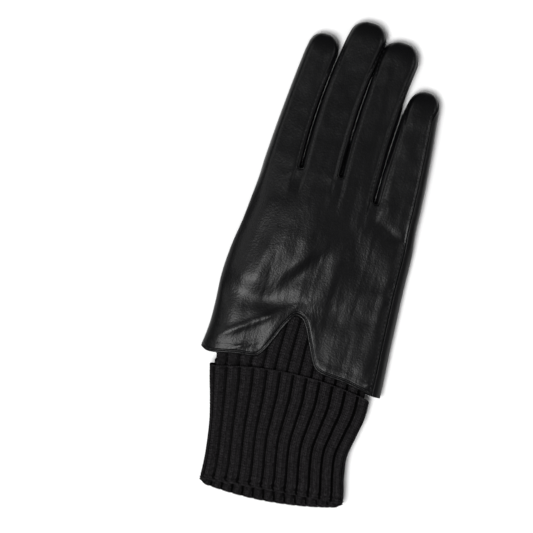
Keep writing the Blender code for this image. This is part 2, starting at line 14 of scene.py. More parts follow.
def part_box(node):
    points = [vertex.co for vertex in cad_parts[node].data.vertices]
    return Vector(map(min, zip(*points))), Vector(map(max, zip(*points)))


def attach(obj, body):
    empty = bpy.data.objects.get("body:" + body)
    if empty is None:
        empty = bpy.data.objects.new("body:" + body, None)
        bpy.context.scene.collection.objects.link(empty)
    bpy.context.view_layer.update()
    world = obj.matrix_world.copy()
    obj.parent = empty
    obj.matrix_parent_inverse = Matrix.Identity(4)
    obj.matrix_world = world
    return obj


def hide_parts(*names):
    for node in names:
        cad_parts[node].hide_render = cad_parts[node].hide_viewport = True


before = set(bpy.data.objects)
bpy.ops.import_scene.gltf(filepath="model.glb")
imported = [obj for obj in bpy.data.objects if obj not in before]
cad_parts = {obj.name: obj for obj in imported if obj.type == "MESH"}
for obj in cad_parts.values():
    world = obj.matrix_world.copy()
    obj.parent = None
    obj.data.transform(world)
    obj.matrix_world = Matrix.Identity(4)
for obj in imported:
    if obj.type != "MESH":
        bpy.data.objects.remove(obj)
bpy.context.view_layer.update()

print("nodes:", sorted(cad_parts))

# %% [markdown]
# The glove is drawn in its own coordinates, in metres: X across the hand, Y from the leather's
# lower edge towards the fingertips. The frame's origin is the middle of the whole glove, so two
# corners of the palm say where the glove's own zero lies.

# %% Sizes of the real glove
LEATHER = 0.0012
HEM_WIDTH = 0.1168
HAND_LENGTH = 0.1265
HAND_HEIGHT = 0.0150
FINGER_HEIGHT = 0.0125
SIDE_ROUNDING = 0.0140
PALM_ROUNDING = 0.0050
TIP_ROUNDING = 0.0140
TIP_FULLNESS = 2.4
SEAM_GAP = 0.0003

palm_low, palm_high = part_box("palm_panel")
ZERO = Vector((palm_high.x - HEM_WIDTH / 2, palm_low.y, 0.0))
print("the glove's own zero:", [round(value, 4) for value in ZERO])

# %% [markdown]
# Two steps come back for everything that is made here. An object shows only once it is linked to
# the scene, and a bmesh, which is handy for modelling, has to be written into a plain mesh.

# %% Into the scene


def linked(name, data):
    """A new object that shows the data."""
    thing = bpy.data.objects.new(name, data)
    bpy.context.scene.collection.objects.link(thing)
    return thing


def mesh_from(sheet, name):
    """A plain mesh with the bmesh's faces, after which the bmesh is freed."""
    mesh = bpy.data.meshes.new(name)
    sheet.to_mesh(mesh)
    sheet.free()
    return mesh


# %% [markdown]
# The camera looks straight down, as in the photograph, and is turned about the vertical so that
# the fingers lean to the right. The photograph is 533 pixels wide at 0.625 mm a pixel, and the
# glove's zero lies at a known pixel, so the point under the lens is worked out and not guessed.

# %% Camera
PHOTO_PIXELS = 533
PIXEL = 0.000625
LEAN = math.radians(16.0)
ZERO_PIXEL = (289.5, 373.0)
CAMERA_HEIGHT = 1.6
SENSOR = 36.0
SHARP_HEIGHT = 0.010  # height above the floor at which a pixel is 0.625 mm wide


def under_lens():
    right = PHOTO_PIXELS / 2 - ZERO_PIXEL[0]
    up = ZERO_PIXEL[1] - PHOTO_PIXELS / 2
    x = (right * math.cos(LEAN) - up * math.sin(LEAN)) * PIXEL
    y = (right * math.sin(LEAN) + up * math.cos(LEAN)) * PIXEL
    return ZERO + Vector((x, y, 0.0))


lens = bpy.data.cameras.new("photo_camera")
lens.sensor_width = SENSOR
lens.lens = SENSOR * (CAMERA_HEIGHT - SHARP_HEIGHT) / (PHOTO_PIXELS * PIXEL)
camera = linked("photo_camera", lens)
camera.location = under_lens() + Vector((0.0, 0.0, CAMERA_HEIGHT))
camera.rotation_euler = (0.0, 0.0, LEAN)
bpy.context.scene.camera = camera
print("camera over", [round(value, 3) for value in camera.location])

# %% [markdown]
# A few small helpers carry the whole shape. Smooth steps blend one form into the next. A table
# has one row for each section of the glove, with lengths as shares of the named sizes, and is
# read on a smooth curve, as a pattern cutter draws a curve through a few marks.

# %% Curves and tables


def smoothstep(share):
    share = min(max(share, 0.0), 1.0)
    return share * share * (3 - 2 * share)


def mix(first, second, share):
    return first + (second - first) * share


def rounded(distance, reach):
    """0 at an edge, rising along a quarter ellipse to 1 at the reach."""
    left = 1 - min(max(distance / reach, 0.0), 1.0)
    return math.sqrt(1 - left * left)


def read_table(table, place, column):
    """One column of a table at a place between its rows, on a smooth curve."""
    if place <= table[0][0]:
        return table[0][column]
    if place >= table[-1][0]:
        return table[-1][column]
    after = 1
    while table[after][0] <= place:
        after += 1
    before = after - 1
    span = table[after][0] - table[before][0]
    share = (place - table[before][0]) / span
    slopes = []
    for number in (before, after):
        low, high = table[max(number - 1, 0)], table[min(number + 1, len(table) - 1)]
        slopes.append((high[column] - low[column]) / (high[0] - low[0]) * span)
    start, end = table[before][column], table[after][column]
    turn = slopes[0] * share + (3 * (end - start) - 2 * slopes[0] - slopes[1]) * share**2
    return start + turn + (2 * (start - end) + slopes[0] + slopes[1]) * share**3


def three_point(values, share):
    """A value on the parabola through three values at shares 0, 0.5 and 1."""
    first, middle, last = values
    bend = 2 * (first + last - 2 * middle)
    return first + (last - first - bend) * share + bend * share**2


def turned_step(right, ahead, angle):
    """The same step seen from axes that are turned to the left by the angle."""
    across = right * math.cos(angle) + ahead * math.sin(angle)
    along = ahead * math.cos(angle) - right * math.sin(angle)
    return across, along


# %% [markdown]
# The outline of the hand: its two sides, the webs between the fingers, and each finger's middle
# line and half width at its root, half way and at its shoulder. They are the sizes that the
# solids were built from, except for the little finger, the hand's side below it and the index
# finger's shoulder. Those were measured once more and are up to 1.3 mm wider here.

# %% Outline of the hand
HAND_SIDES = (
    # height, index side, little finger's side
    (0.00, -0.500, 0.500),
    (0.12, -0.487, 0.492),
    (0.24, -0.489, 0.482),
    (0.38, -0.498, 0.473),
    (0.53, -0.489, 0.463),
    (0.67, -0.468, 0.458),
    (0.82, -0.455, 0.452),
    (1.00, -0.447, 0.440),
)
WEB_HEIGHTS = (0.970, 0.995, 1.005, 0.925, 0.880)
FINGERS = (
    # length, root (middle, half), half way (middle, half), shoulder (middle, half)
    (0.0840, (-0.3475, 0.0990), (-0.3375, 0.0898), (-0.3110, 0.0880)),
    (0.0984, (-0.1350, 0.1045), (-0.1340, 0.1058), (-0.0960, 0.1045)),
    (0.0917, (0.0790, 0.1010), (0.0780, 0.1010), (0.1020, 0.1050)),
    (0.0660, (0.3190, 0.1255), (0.3108, 0.1138), (0.3020, 0.0920)),
)
NOTCH_DEPTH = 0.0355
NOTCH_SHARE = 0.0390 / HEM_WIDTH
NOTCH_MIDDLE = -0.032
NOTCH_CURVE = (
    # across, as a share of the notch's width, and height, as a share of its depth
    (-0.60, 0.11),
    (-0.46, 0.17),
    (-0.34, 0.42),
    (-0.18, 0.80),
    (-0.05, 1.00),
    (0.04, 1.00),
    (0.15, 0.86),
    (0.30, 0.50),
    (0.44, 0.22),
    (0.58, 0.14),
)
HEM_CURVE = (
    # across, as a share of the lower edge's width, and height, as a share of the notch's depth
    (-0.50, 0.04),
    (-0.46, -0.02),
    (-0.30, 0.08),
    *((NOTCH_MIDDLE + place * NOTCH_SHARE, height) for place, height in NOTCH_CURVE),
    (0.30, 0.10),
    (0.46, 0.00),
    (0.50, -0.03),
)


def hand_sides(height, depth):
    """The hand's index side and its other side, at the leather's outer or inner face."""
    index_side = HEM_WIDTH * read_table(HAND_SIDES, height, 1)
    other_side = HEM_WIDTH * read_table(HAND_SIDES, height, 2)
    return index_side + depth * LEATHER, other_side - depth * LEATHER


def share_across(x, depth):
    """Share of the way across the hand where the fingers begin, from 0 to 1."""
    left, right = hand_sides(1.0, depth)
    return (x - left) / (right - left)


def hand_height(height):
    """How tall the flat hand is at a share of the way up, without the thumb's lift."""
    return mix(HAND_HEIGHT, FINGER_HEIGHT, smoothstep(height))


def back_hem(across):
    return NOTCH_DEPTH * read_table(HEM_CURVE, across, 1)


def palm_hem(across):
    return 0.0


# %% [markdown]
# The thumb lies folded flat under the palm, so it has its own middle line and widths, and it
# lifts all that lies over it. The palm lies close on it and falls off steeply beside it. The back
# bridges it in one broad, low rise, because leather doesn't follow a step that it only spans.
# Both lifts are heights over the plan, and a point takes its share of each by its own height, so
# pieces that touch stay together.

# %% Thumb and the lift over it
THUMB_LENGTH = 0.1170
THUMB_WIDTH = 0.0490
THUMB_HEIGHT = 0.0092
THUMB_START = 0.0315
THUMB_LEAN = 0.0270
THUMB_FALL = 0.0180  # how far beside the thumb the palm reaches its own height again
LEVEL_SHARE = 0.15  # the first part of that way, over which the palm is still level
THUMB_FOOT = -0.262
THUMB_SECTIONS = (
    # along, middle, half width
    (0.00, 0.00, 0.08),
    (0.10, -0.02, 0.21),
    (0.24, 0.06, 0.34),
    (0.37, 0.16, 0.44),
    (0.50, 0.27, 0.50),
    (0.63, 0.48, 0.48),
    (0.76, 0.74, 0.44),
    (0.87, 0.92, 0.385),
    (0.95, 1.02, 0.27),
    (1.00, 1.06, 0.10),
)


def thumb_section(along):
    middle = HEM_WIDTH * THUMB_FOOT + THUMB_LEAN * read_table(THUMB_SECTIONS, along, 1)
    return middle, THUMB_WIDTH * read_table(THUMB_SECTIONS, along, 2)


HOLE_WIDTH = 0.0220
HOLE_LENGTH = 0.0440
HOLE_TURN = math.radians(-14.0)
HOLE_X = HEM_WIDTH * THUMB_FOOT + 0.30 * THUMB_LEAN
HOLE_MIDDLE = Vector((HOLE_X, THUMB_START + 0.29 * THUMB_LENGTH, 0.0))
ON_RIM = 1.001  # reach below which a point counts as lying in the hole or on its rim


def hole_reach(point):
    """Less than 1 inside the oval way in to the thumb, 1 on its rim."""
    right, ahead, _ = point - HOLE_MIDDLE
    across, along = turned_step(right, ahead, HOLE_TURN)
    return 2 * math.hypot(across / HOLE_WIDTH, along / HOLE_LENGTH)


def out_of_hole(point):
    """The point itself, or the place straight outwards on the rim if it lies in the way in."""
    reach = max(hole_reach(point), 0.001)  # never 0, so that the middle itself can be moved
    if reach >= 1:
        return point
    pushed = HOLE_MIDDLE + (point - HOLE_MIDDLE) / reach
    return Vector((pushed.x, pushed.y, point.z))


def palm_lift(x, y):
    """How far the thumb lifts the palm: level over it, falling off beside it."""
    along = (y - THUMB_START) / THUMB_LENGTH
    middle, half = thumb_section(along)
    beside = max(abs(x - middle) - half, 0.0)
    beyond = max(y - THUMB_START - THUMB_LENGTH, THUMB_START - y, 0.0)
    fallen = smoothstep(math.hypot(beside, beyond) / THUMB_FALL - LEVEL_SHARE)
    return (THUMB_HEIGHT + SEAM_GAP) * (1 - fallen)


BACK_RISE = 0.0090
RISE_WIDTH = 0.043
RISE_LENGTH = 0.078
RISE_TURN = math.radians(-13.0)


def back_lift(x, y):
    """How far the thumb lifts the back: one soft oval rise that leans as the thumb does."""
    right = x - thumb_section(0.5)[0]
    across, along = turned_step(right, y - THUMB_START - THUMB_LENGTH / 2, RISE_TURN)
    return BACK_RISE * math.exp(-((across / RISE_WIDTH) ** 2) - (along / RISE_LENGTH) ** 2)


def placed(point):
    """A point of the flat drawing, lifted by the thumb and moved into the frame."""
    lifts = palm_lift(point.x, point.y), back_lift(point.x, point.y)
    raised = mix(*lifts, smoothstep(point.z / FINGER_HEIGHT))
    return Vector((point.x, point.y, point.z + raised)) + ZERO


# %% [markdown]
# Dress leather is thin and keeps the marks of being worn and pressed. The larger folds are in
# the mesh, so they show from every side: a few listed ridges and hollows for those that
# the photograph shows, and a low wandering unevenness everywhere. Each fold is a soft bump
# stretched along its own direction. The fine wrinkles come later, in the material.

# %% Folds of the leather
FOLDS = (
    # across, along, length, width, turn in degrees, height in mm; shares of width and length
    (-0.300, 0.501, 0.45, 0.055, 73.0, 1.00),
    (-0.120, 0.449, 0.36, 0.050, 51.0, -1.10),
    (-0.101, 0.549, 0.22, 0.035, 54.0, 0.70),
    (0.082, 0.541, 0.46, 0.045, 81.0, 0.90),
    (0.128, 0.725, 0.28, 0.040, 104.0, -0.70),
    (0.266, 0.908, 0.13, 0.045, 48.0, 1.10),
    (0.304, 0.805, 0.19, 0.028, -22.0, -1.30),
    (-0.290, 0.176, 0.58, 0.013, 36.0, 1.15),
    (-0.242, 0.092, 0.22, 0.011, 31.0, 0.50),
    (-0.248, 0.287, 0.34, 0.050, 19.0, -0.80),
    (0.072, 0.343, 0.22, 0.020, 25.0, -0.70),
    (0.264, 0.342, 0.30, 0.060, 20.0, -0.70),
    (0.378, 0.162, 0.20, 0.050, 60.0, 0.60),
    (0.441, 0.060, 0.09, 0.018, 34.0, 0.70),
    (0.334, 0.474, 0.14, 0.040, 16.0, 0.50),
    (-0.262, 0.987, 0.10, 0.020, -56.0, 0.60),
    (-0.330, 0.325, 0.50, 0.065, 0.0, -1.70),
    (-0.286, 0.955, 0.08, 0.012, 42.0, 0.90),
    (-0.060, 0.980, 0.07, 0.012, 5.0, 0.80),
    (0.160, 0.900, 0.07, 0.012, 12.0, 0.80),
)


def fold_height(x, y):
    across, along = x / HEM_WIDTH, y / HEM_WIDTH
    total = 0.0
    for middle, up, length, width, turn, height in FOLDS:
        ahead = along - up * HAND_LENGTH / HEM_WIDTH
        lengthwise, crosswise = turned_step(across - middle, ahead, math.radians(turn))
        if abs(lengthwise) < 2 * length and abs(crosswise) < 3 * width:
            total += height * math.exp(-(2 * lengthwise / length) ** 2 - (crosswise / width) ** 2)
    return total / 1000


def wandering(x, y, seed, width, length, height):
    """A low unevenness that never repeats, with bumps of about one width and length."""
    return height * noise.noise(Vector((x / width, y / length, seed)))


BROAD_WAVES = (1.7, 0.022, 0.022, 0.00070)  # seed, width, length and height
SMALL_WAVES = (5.1, 0.009, 0.009, 0.00022)
BROAD_PULLS = (3.0, 0.006, 0.055, 0.00022)
SMALL_PULLS = (8.0, 0.0035, 0.030, 0.00016)
PALM_CREASES = (9.3, 0.016, 0.016, 0.00080)
PALM_LEVEL = 0.0004  # height of the palm's creases where their noise is nil


print("deepest fold:", min(fold[5] for fold in FOLDS), "mm")

# %% [markdown]
# One finger is a stack of sections. Each is a flattened tube: a level top with rounded sides, and
# a tighter round below, because it rests on its underside. An angle says how far round a point
# is, from 0 on the right over 90 on top. A share says how far up the finger it is, and a depth of
# 0 or 1 asks for the leather's outer or inner face.

# %% A finger's sections
TOP_ROUNDING = 0.4  # width of the top's round sides, as a share of the finger's half width
UNDER_SPREAD = 0.6  # below 1, this moves the points of the underside out towards its sides
BACK_SEAM = 32.0  # angles of the seams up from the side, in degrees
PALM_SEAM = 20.0
INDEX_SIDE_SEAM = 50.0
LITTLE_SIDE_SEAM = 48.0
STRIP_END = 0.42  # how far into the rounded tip the strips between fingers reach
FADE_START = 0.60  # where a seam beside a strip begins to narrow, along the finger
FADE = 0.72  # the share of its angle that it has lost where the strip ends
CLOSING = 0.4  # how much of the tip beyond the strip the two seams take to meet
OUTER_CLOSING = (0.80, 0.99)  # between these places an outer seam runs down to the tip's edge
TIP_SLOT = 0.0008  # height of a finger at its very tip
FLAT_FROM = 0.999  # and from here on
LAST_BEND = 1.05  # a finger's middle line stops bending just beyond its shoulder, which is at 1
TIP_END = 0.9999  # the last row stops just short of the tip, so that its cells keep some width


def on_top(angle):
    return math.sin(math.radians(angle)) >= 0


def across_section(angle):
    cosine = math.cos(math.radians(angle))
    return cosine if on_top(angle) else math.copysign(abs(cosine) ** UNDER_SPREAD, cosine)


def height_share(distance, half, angle):
    if on_top(angle):
        return 0.5 + 0.5 * rounded(distance, half)
    return 0.5 - 0.5 * rounded(distance, min(PALM_ROUNDING, half))


def seam_gap_angle(finger, along):
    """The gap between two pieces as an angle in degrees round a finger's section."""
    return math.degrees(SEAM_GAP / (0.5 * finger.height(along, 0)))


class Finger:
    def __init__(self, number):
        self.number = number
        self.length, *self.stations = FINGERS[number]
        self.roots = [share * HAND_LENGTH for share in WEB_HEIGHTS[number : number + 2]]
        self.shoulder = 1 - TIP_ROUNDING / self.length
        self.strip_end = self.shoulder + (1 - self.shoulder) * STRIP_END

    def tip_share(self, along):
        into_tip = max(along - self.shoulder, 0.0) / (1 - self.shoulder)
        return max(1 - into_tip**TIP_FULLNESS, 0.0) ** (1 / TIP_FULLNESS)

    def half_width(self, along, depth):
        share = min(along / self.shoulder, 1.0)
        half = HEM_WIDTH * three_point([station[1] for station in self.stations], share)
        return (half - depth * LEATHER) * self.tip_share(along)

    def middle(self, along):
        share = min(along / self.shoulder, LAST_BEND)
        return HEM_WIDTH * three_point([station[0] for station in self.stations], share)

    def height(self, along, depth):
        if along > FLAT_FROM:
            return TIP_SLOT
        return mix(TIP_SLOT, FINGER_HEIGHT - 2 * depth * LEATHER, self.tip_share(along))

    def closed_angle(self, along):
        """Angle of a seam whose two pieces all but touch, at half the finger's height."""
        return math.degrees(math.asin(SEAM_GAP / self.height(along, 0)))

    def seam_angle(self, along, full):
        """Angle of a seam beside a strip, which closes where the strip ends."""
        fade = 1 - smoothstep((along - FADE_START) / (self.strip_end - FADE_START)) * FADE
        beyond = smoothstep((along - self.strip_end) / (CLOSING * (1 - self.strip_end)))
        return self.closed_angle(along) + full * fade * (1 - beyond)

    def outer_seam_angle(self, along, full):
        """Angle of the seam on the hand's own side, which closes slowly round the tip."""
        start, end = OUTER_CLOSING
        open_share = 1 - smoothstep((along - start) / (end - start))
        return self.closed_angle(along) + full * open_share

    def point(self, along, angle, depth):
        middle, half = self.middle(along), self.half_width(along, depth)
        across = across_section(angle)
        x = middle + half * across
        root = mix(self.roots[0], self.roots[1], (across + 1) / 2) - depth * LEATHER
        y = mix(root, HAND_LENGTH + self.length - depth * LEATHER, along)
        share = height_share(half * (1 - abs(across)), half * TOP_ROUNDING, angle)
        z = FINGER_HEIGHT / 2 + self.height(along, depth) * (share - 0.5)
        return Vector((x, y, z))


HAND = [Finger(number) for number in range(len(FINGERS))]
print("finger lengths:", [finger.length for finger in HAND])

# %% [markdown]
# Where two pieces meet is a seam angle. On the index side the back wraps down and under, and on
# the little finger's side the palm wraps up and over, as the photograph shows.

# %% Seams between back and palm


def back_angles(finger, along):
    gap = seam_gap_angle(finger, along)
    seam = finger.seam_angle(along, BACK_SEAM)
    left, right = 180 - seam, seam
    if finger.number == 0:
        left = 180 + finger.outer_seam_angle(along, INDEX_SIDE_SEAM) - 2 * gap
    if finger.number == len(HAND) - 1:
        right = finger.outer_seam_angle(along, LITTLE_SIDE_SEAM) + gap
    return left, right


def palm_angles(finger, along):
    seam = finger.seam_angle(along, PALM_SEAM)
    left, right = 180 + seam, 360 - seam
    if finger.number == 0:
        left = 180 + finger.outer_seam_angle(along, INDEX_SIDE_SEAM)
    if finger.number == len(HAND) - 1:
        right = 360 + finger.outer_seam_angle(along, LITTLE_SIDE_SEAM)
    return left, right


# %% [markdown]
# The back and the palm are each one piece of leather: a broad hand with four prongs. Such a comb
# could be cut from a plane with Booleans, but then its quads would be lost. Here a flat grid is
# made with create_grid, the cells between the prongs are deleted, and each point moves to its
# place on the glove. The grid keeps clean rows along the fingers, so folds and light run well.

# %% Comb of the hand
FINGER_CELLS = 18
HAND_ROWS = 64
FINGER_ROWS = 34
TIP_ROWS = 12
HEM_ROWS = 14  # how many of the hand's rows lie close together along the lower edge
HEM_SHARE = 0.055  # and how far up the hand these reach
PANEL_ROWS = HAND_ROWS + FINGER_ROWS + TIP_ROWS + 1
SEAM_CROWDING = 0.85  # how much closer the columns lie along the seams, from 0 to 1


def finger_along(finger, row):
    """Share of a finger's length at a row: even up to its shoulder, then closer towards the tip."""
    if row <= FINGER_ROWS:
        return finger.shoulder * row / FINGER_ROWS
    turn = math.pi / 2 * (row - FINGER_ROWS) / TIP_ROWS
    return mix(finger.shoulder, 1.0, min(math.sin(turn), TIP_END))


def hand_up(row):
    """Share of the way up the hand at a row, with closer rows along the lower edge."""
    if row <= HEM_ROWS:
        return HEM_SHARE * row / HEM_ROWS
    return mix(HEM_SHARE, 1.0, (row - HEM_ROWS) / (HAND_ROWS - HEM_ROWS))


def cell_share(cell):
    """Share across a finger, with closer columns along its two seams."""
    share = cell / FINGER_CELLS
    return mix(share, smoothstep(share), SEAM_CROWDING)


# %% [markdown]
# The edges of the leather are where its making shows. The lower edge is turned under and stitched
# down 1.8 mm from the fold, so it is a rounded double edge, then a sunken line of stitches, then
# a low step where the turned-under strip ends. Along a finger's seam the two layers stand up as a
# thin ridge, with the stitches just inside it. Both are heights over the distance to the edge.

# %% Heights along hems and seams
HEM_STITCHES = 0.0018
HEM_STRIP = 0.0062
SEAM_STITCHES = 0.0011
EDGE_DROP = 0.00045
EDGE_ROUNDING = 0.0005
STRIP_RISE = 0.00012
STRIP_STEP = 0.0016
HEM_GROOVE = (-0.00055, HEM_STITCHES, 0.00042)  # height, distance from the edge, reach
SEAM_RIDGE = (0.00030, 0.00025, 0.00045)
SEAM_GROOVE = (-0.00022, SEAM_STITCHES, 0.00045)


def bump(distance, height, place, reach):
    return height * math.exp(-(((distance - place) / reach) ** 2))


def hem_relief(distance):
    edge = -EDGE_DROP * (1 - rounded(distance, EDGE_ROUNDING))
    strip = STRIP_RISE * (1 - smoothstep((distance - HEM_STRIP) / STRIP_STEP + 0.5))
    return edge + strip + bump(distance, *HEM_GROOVE)


def seam_relief(distance):
    return bump(distance, *SEAM_RIDGE) + bump(distance, *SEAM_GROOVE)


# %% [markdown]
# A panel knows where every point of its piece lies: over the hand a height from 0 at the lower
# edge to 1 at the fingers' roots, and over a finger from 1 to 2 at its tip. Folds, hem and seam
# are added to the plain form here, so stitches placed later on the same panel follow them.

# %% Form of a panel
SLOPE_STEP = 0.004  # the lower edge's slope is read over twice this share of its width
WEB_DIP = 1 / 3  # how far a web dips, as a share of the gap between its two fingers
FINGER_FORM = 0.8  # height from which the hand's form passes into the fingers'
FOLDS_DIE = 0.2  # share of the hand below the fingers over which the broad waves die away
FINGER_FOLDS = 0.35  # share of the folds' height that is left on the fingers
FOLDS_END = 0.006  # distances from a seam over which folds and creases rise to their height
CREASES_END = 0.010
ROUND_SHARE = 0.8  # length round a finger's section, as a share of its angle times half width
LOWEST_RIDGE = -0.3  # a seam that faces further down than this has no ridge


class Panel:
    def __init__(self, angles, hem, shows_folds):
        self.angles = angles
        self.hem = hem
        self.shows_folds = shows_folds
        self.columns = []
        for finger in HAND:
            for cell in range(FINGER_CELLS + 1):
                self.columns.append((finger, cell_share(cell)))
            if finger is not HAND[-1]:
                self.columns.append((finger, None))

    def angle(self, finger, share, along):
        left, right = self.angles(finger, along)
        return mix(left, right, share)

    def root(self, finger, share, depth):
        if share is not None:
            return finger.point(0.0, self.angle(finger, share, 0.0), depth)
        before = self.root(finger, 1.0, depth)
        after = self.root(HAND[finger.number + 1], 0.0, depth)
        middle = (before + after) / 2
        middle.y -= (after.x - before.x) * WEB_DIP
        return middle

    def hem_slant(self, across):
        """Length along Y of one step square to the lower edge."""
        rise = self.hem(across + SLOPE_STEP) - self.hem(across - SLOPE_STEP)
        return math.hypot(1, rise / (2 * SLOPE_STEP * HEM_WIDTH))

    def hand_spot(self, finger, share, up, depth):
        root = self.root(finger, share, depth)
        across = share_across(root.x, depth)
        low = self.hem(across - 0.5)
        y = mix(low, root.y, up)
        height = y / HAND_LENGTH
        left, right = hand_sides(height, depth)
        into_finger = smoothstep((up - FINGER_FORM) / (1 - FINGER_FORM))
        x = mix(mix(left, right, across), root.x, into_finger)
        seam_side = 1.0 if share is None else share
        top = on_top(self.angle(finger, seam_side, 0.0))
        distance = min(x - left, right - x)
        tall = hand_height(height) - 2 * depth * LEATHER
        share_up = height_share(distance, SIDE_ROUNDING, 90.0 if top else -90.0)
        z = depth * LEATHER + tall * share_up
        spot = Vector((x, y, mix(z, root.z, into_finger)))
        if top and self.shows_folds:
            spot.z += self.worn(spot, distance, min((1 - up) / FOLDS_DIE, 1.0))
            if depth == 0:
                spot.z += hem_relief((y - low) / self.hem_slant(across - 0.5))
        elif not top:
            spot.z += self.pressed(spot, distance)
        return spot

    def finger_spot(self, finger, share, along, depth):
        angle = self.angle(finger, share, along)
        spot = finger.point(along, angle, depth)
        if on_top(angle) and self.shows_folds:
            distance = finger.half_width(along, 0) * (1 - abs(across_section(angle)))
            spot.z += self.worn(spot, distance, 0.0)
        return spot

    def side_seam(self, finger, share, height):
        """How far a point is from its seam, and which way is outwards there."""
        along = max(height - 1, 0.0)
        nearest = 0.0 if share < 0.5 else 1.0
        outermost = (finger is HAND[0] and nearest == 0) or (finger is HAND[-1] and nearest == 1)
        if height < 1 and not outermost:
            return None, None
        angle = math.radians(self.angle(finger, share, along))
        distance = abs(share - nearest) * self.width_over(finger, along)
        return distance, Vector((math.cos(angle), 0.0, math.sin(angle)))

    def width_over(self, finger, along):
        """Width of this panel's leather round a finger, from seam to seam."""
        left, right = self.angles(finger, along)
        return math.radians(abs(right - left)) * finger.half_width(along, 0) * ROUND_SHARE

    def spot(self, finger, share, height, depth):
        if height <= 1:
            spot = self.hand_spot(finger, share, height, depth)
        else:
            spot = self.finger_spot(finger, share, height - 1, depth)
        if share is None or depth:
            return spot
        distance, outwards = self.side_seam(finger, share, height)
        if outwards and outwards.z > LOWEST_RIDGE:
            spot += outwards * seam_relief(distance)
        return spot

    def point(self, column, row, depth):
        finger, share = self.columns[column]
        if row <= HAND_ROWS:
            return self.spot(finger, share, hand_up(row), depth)
        return self.spot(finger, share, 1 + finger_along(finger, row - HAND_ROWS), depth)

    def pierced_point(self, column, row, depth):
        return out_of_hole(self.point(column, row, depth))

    def worn(self, spot, distance, calm):
        """Height of the folds, which die away towards the seams so that these stay closed."""
        raised = fold_height(spot.x, spot.y) * max(calm, FINGER_FOLDS)
        raised += wandering(spot.x, spot.y, *BROAD_WAVES) * calm
        for waves in (SMALL_WAVES, BROAD_PULLS, SMALL_PULLS):
            raised += wandering(spot.x, spot.y, *waves)
        return raised * smoothstep(distance / FOLDS_END)

    def pressed(self, spot, distance):
        """Height of the underside's creases, all upwards because it lies on the floor."""
        raised = PALM_LEVEL + wandering(spot.x, spot.y, *PALM_CREASES)
        return max(raised, 0.0) * smoothstep(distance / CREASES_END)

    def keeps(self, columns, rows):
        web = any(self.columns[column][1] is None for column in columns)
        return not (web and max(rows) > HAND_ROWS)


# %% [markdown]
# Now the pieces themselves. A grid gives the rows and columns, the cells between the fingers go,
# an extrusion copies the sheet as its inner face and closes its edges, and each point moves to
# its place. One level of subdivision rounds what the grid leaves angular.

# %% Back and palm


def grid_sheet(columns, rows, keeps):
    """A flat grid whose points know their column and row, without the cells not kept."""
    sheet = bmesh.new()
    column_layer = sheet.verts.layers.int.new("column")
    row_layer = sheet.verts.layers.int.new("row")
    bmesh.ops.create_grid(sheet, x_segments=columns - 1, y_segments=rows - 1, size=0.5)
    for vert in sheet.verts:
        vert[column_layer] = round((vert.co.x + 0.5) * (columns - 1))
        vert[row_layer] = round((vert.co.y + 0.5) * (rows - 1))
    left_out = []
    for face in sheet.faces:
        face_columns = [vert[column_layer] for vert in face.verts]
        face_rows = [vert[row_layer] for vert in face.verts]
        if not keeps(face_columns, face_rows):
            left_out.append(face)
    bmesh.ops.delete(sheet, geom=left_out, context="FACES")
    return sheet, column_layer, row_layer


def whole(columns, rows):
    """For a grid that keeps every cell."""
    return True


def finished(name, sheet):
    """Turns a bmesh into a smooth piece of the scene that rides on the glove."""
    bmesh.ops.recalc_face_normals(sheet, faces=sheet.faces[:])
    mesh = mesh_from(sheet, name)
    mesh.shade_smooth()
    piece = linked(name, mesh)
    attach(piece, "root")
    return piece


def soften(piece):
    subdivision = piece.modifiers.new("soften", "SUBSURF")
    subdivision.levels = 1
    subdivision.render_levels = 1


def open_hole(sheet, faces):
    """Deletes the faces that lie wholly in the way in to the thumb."""
    inside = []
    for face in faces:
        if all(hole_reach(vert.co) < ON_RIM for vert in face.verts):
            inside.append(face)
    bmesh.ops.delete(sheet, geom=inside, context="FACES")


def walled_piece(name, columns, rows, keeps, place, pierced=False):
    """A leather wall: place gives a point's spot from its column, its row and its depth."""
    sheet, column_layer, row_layer = grid_sheet(columns, rows, keeps)
    for vert in sheet.verts:
        vert.co = place(vert[column_layer], vert[row_layer], 0)
    if pierced:
        open_hole(sheet, sheet.faces)
    outer = list(sheet.verts)
    copied = bmesh.ops.extrude_face_region(sheet, geom=sheet.faces[:], use_keep_orig=True)
    inner = [item for item in copied["geom"] if isinstance(item, bmesh.types.BMVert)]
    for vert in inner:
        vert.co = place(vert[column_layer], vert[row_layer], 1)
    for vert in outer + inner:
        vert.co = placed(vert.co)
    piece = finished(name, sheet)
    soften(piece)
    return piece


back = Panel(back_angles, back_hem, True)
palm = Panel(palm_angles, palm_hem, False)
grid = (len(back.columns), PANEL_ROWS)
back_leather = walled_piece("back_leather", *grid, back.keeps, back.point)
palm_leather = walled_piece("palm_leather", *grid, palm.keeps, palm.pierced_point, pierced=True)
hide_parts("back_panel")
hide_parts("palm_panel")
print("back:", len(back_leather.data.polygons), "faces before smoothing")

# %% [markdown]
# Between two fingers lies a fourchette: one narrow strip that runs down one finger, round the
# web and up the next. It is a grid as well, bent along that path, between the two seams.

# %% Strips between the fingers
STRIP_ROWS = 6
WIDEST_BULGE = 0.0022
BULGE_FADE = 0.15  # share of a finger over which a strip's bulge dies away at its end
BULGE_DROP = 0.6  # below 1, this moves the widest part of the bulge down
WEB_SPAN = (0.06, 0.94)  # how much of the height between palm and back the web fills
LOW_GAP = 1.6  # gap under a strip, in seam gaps


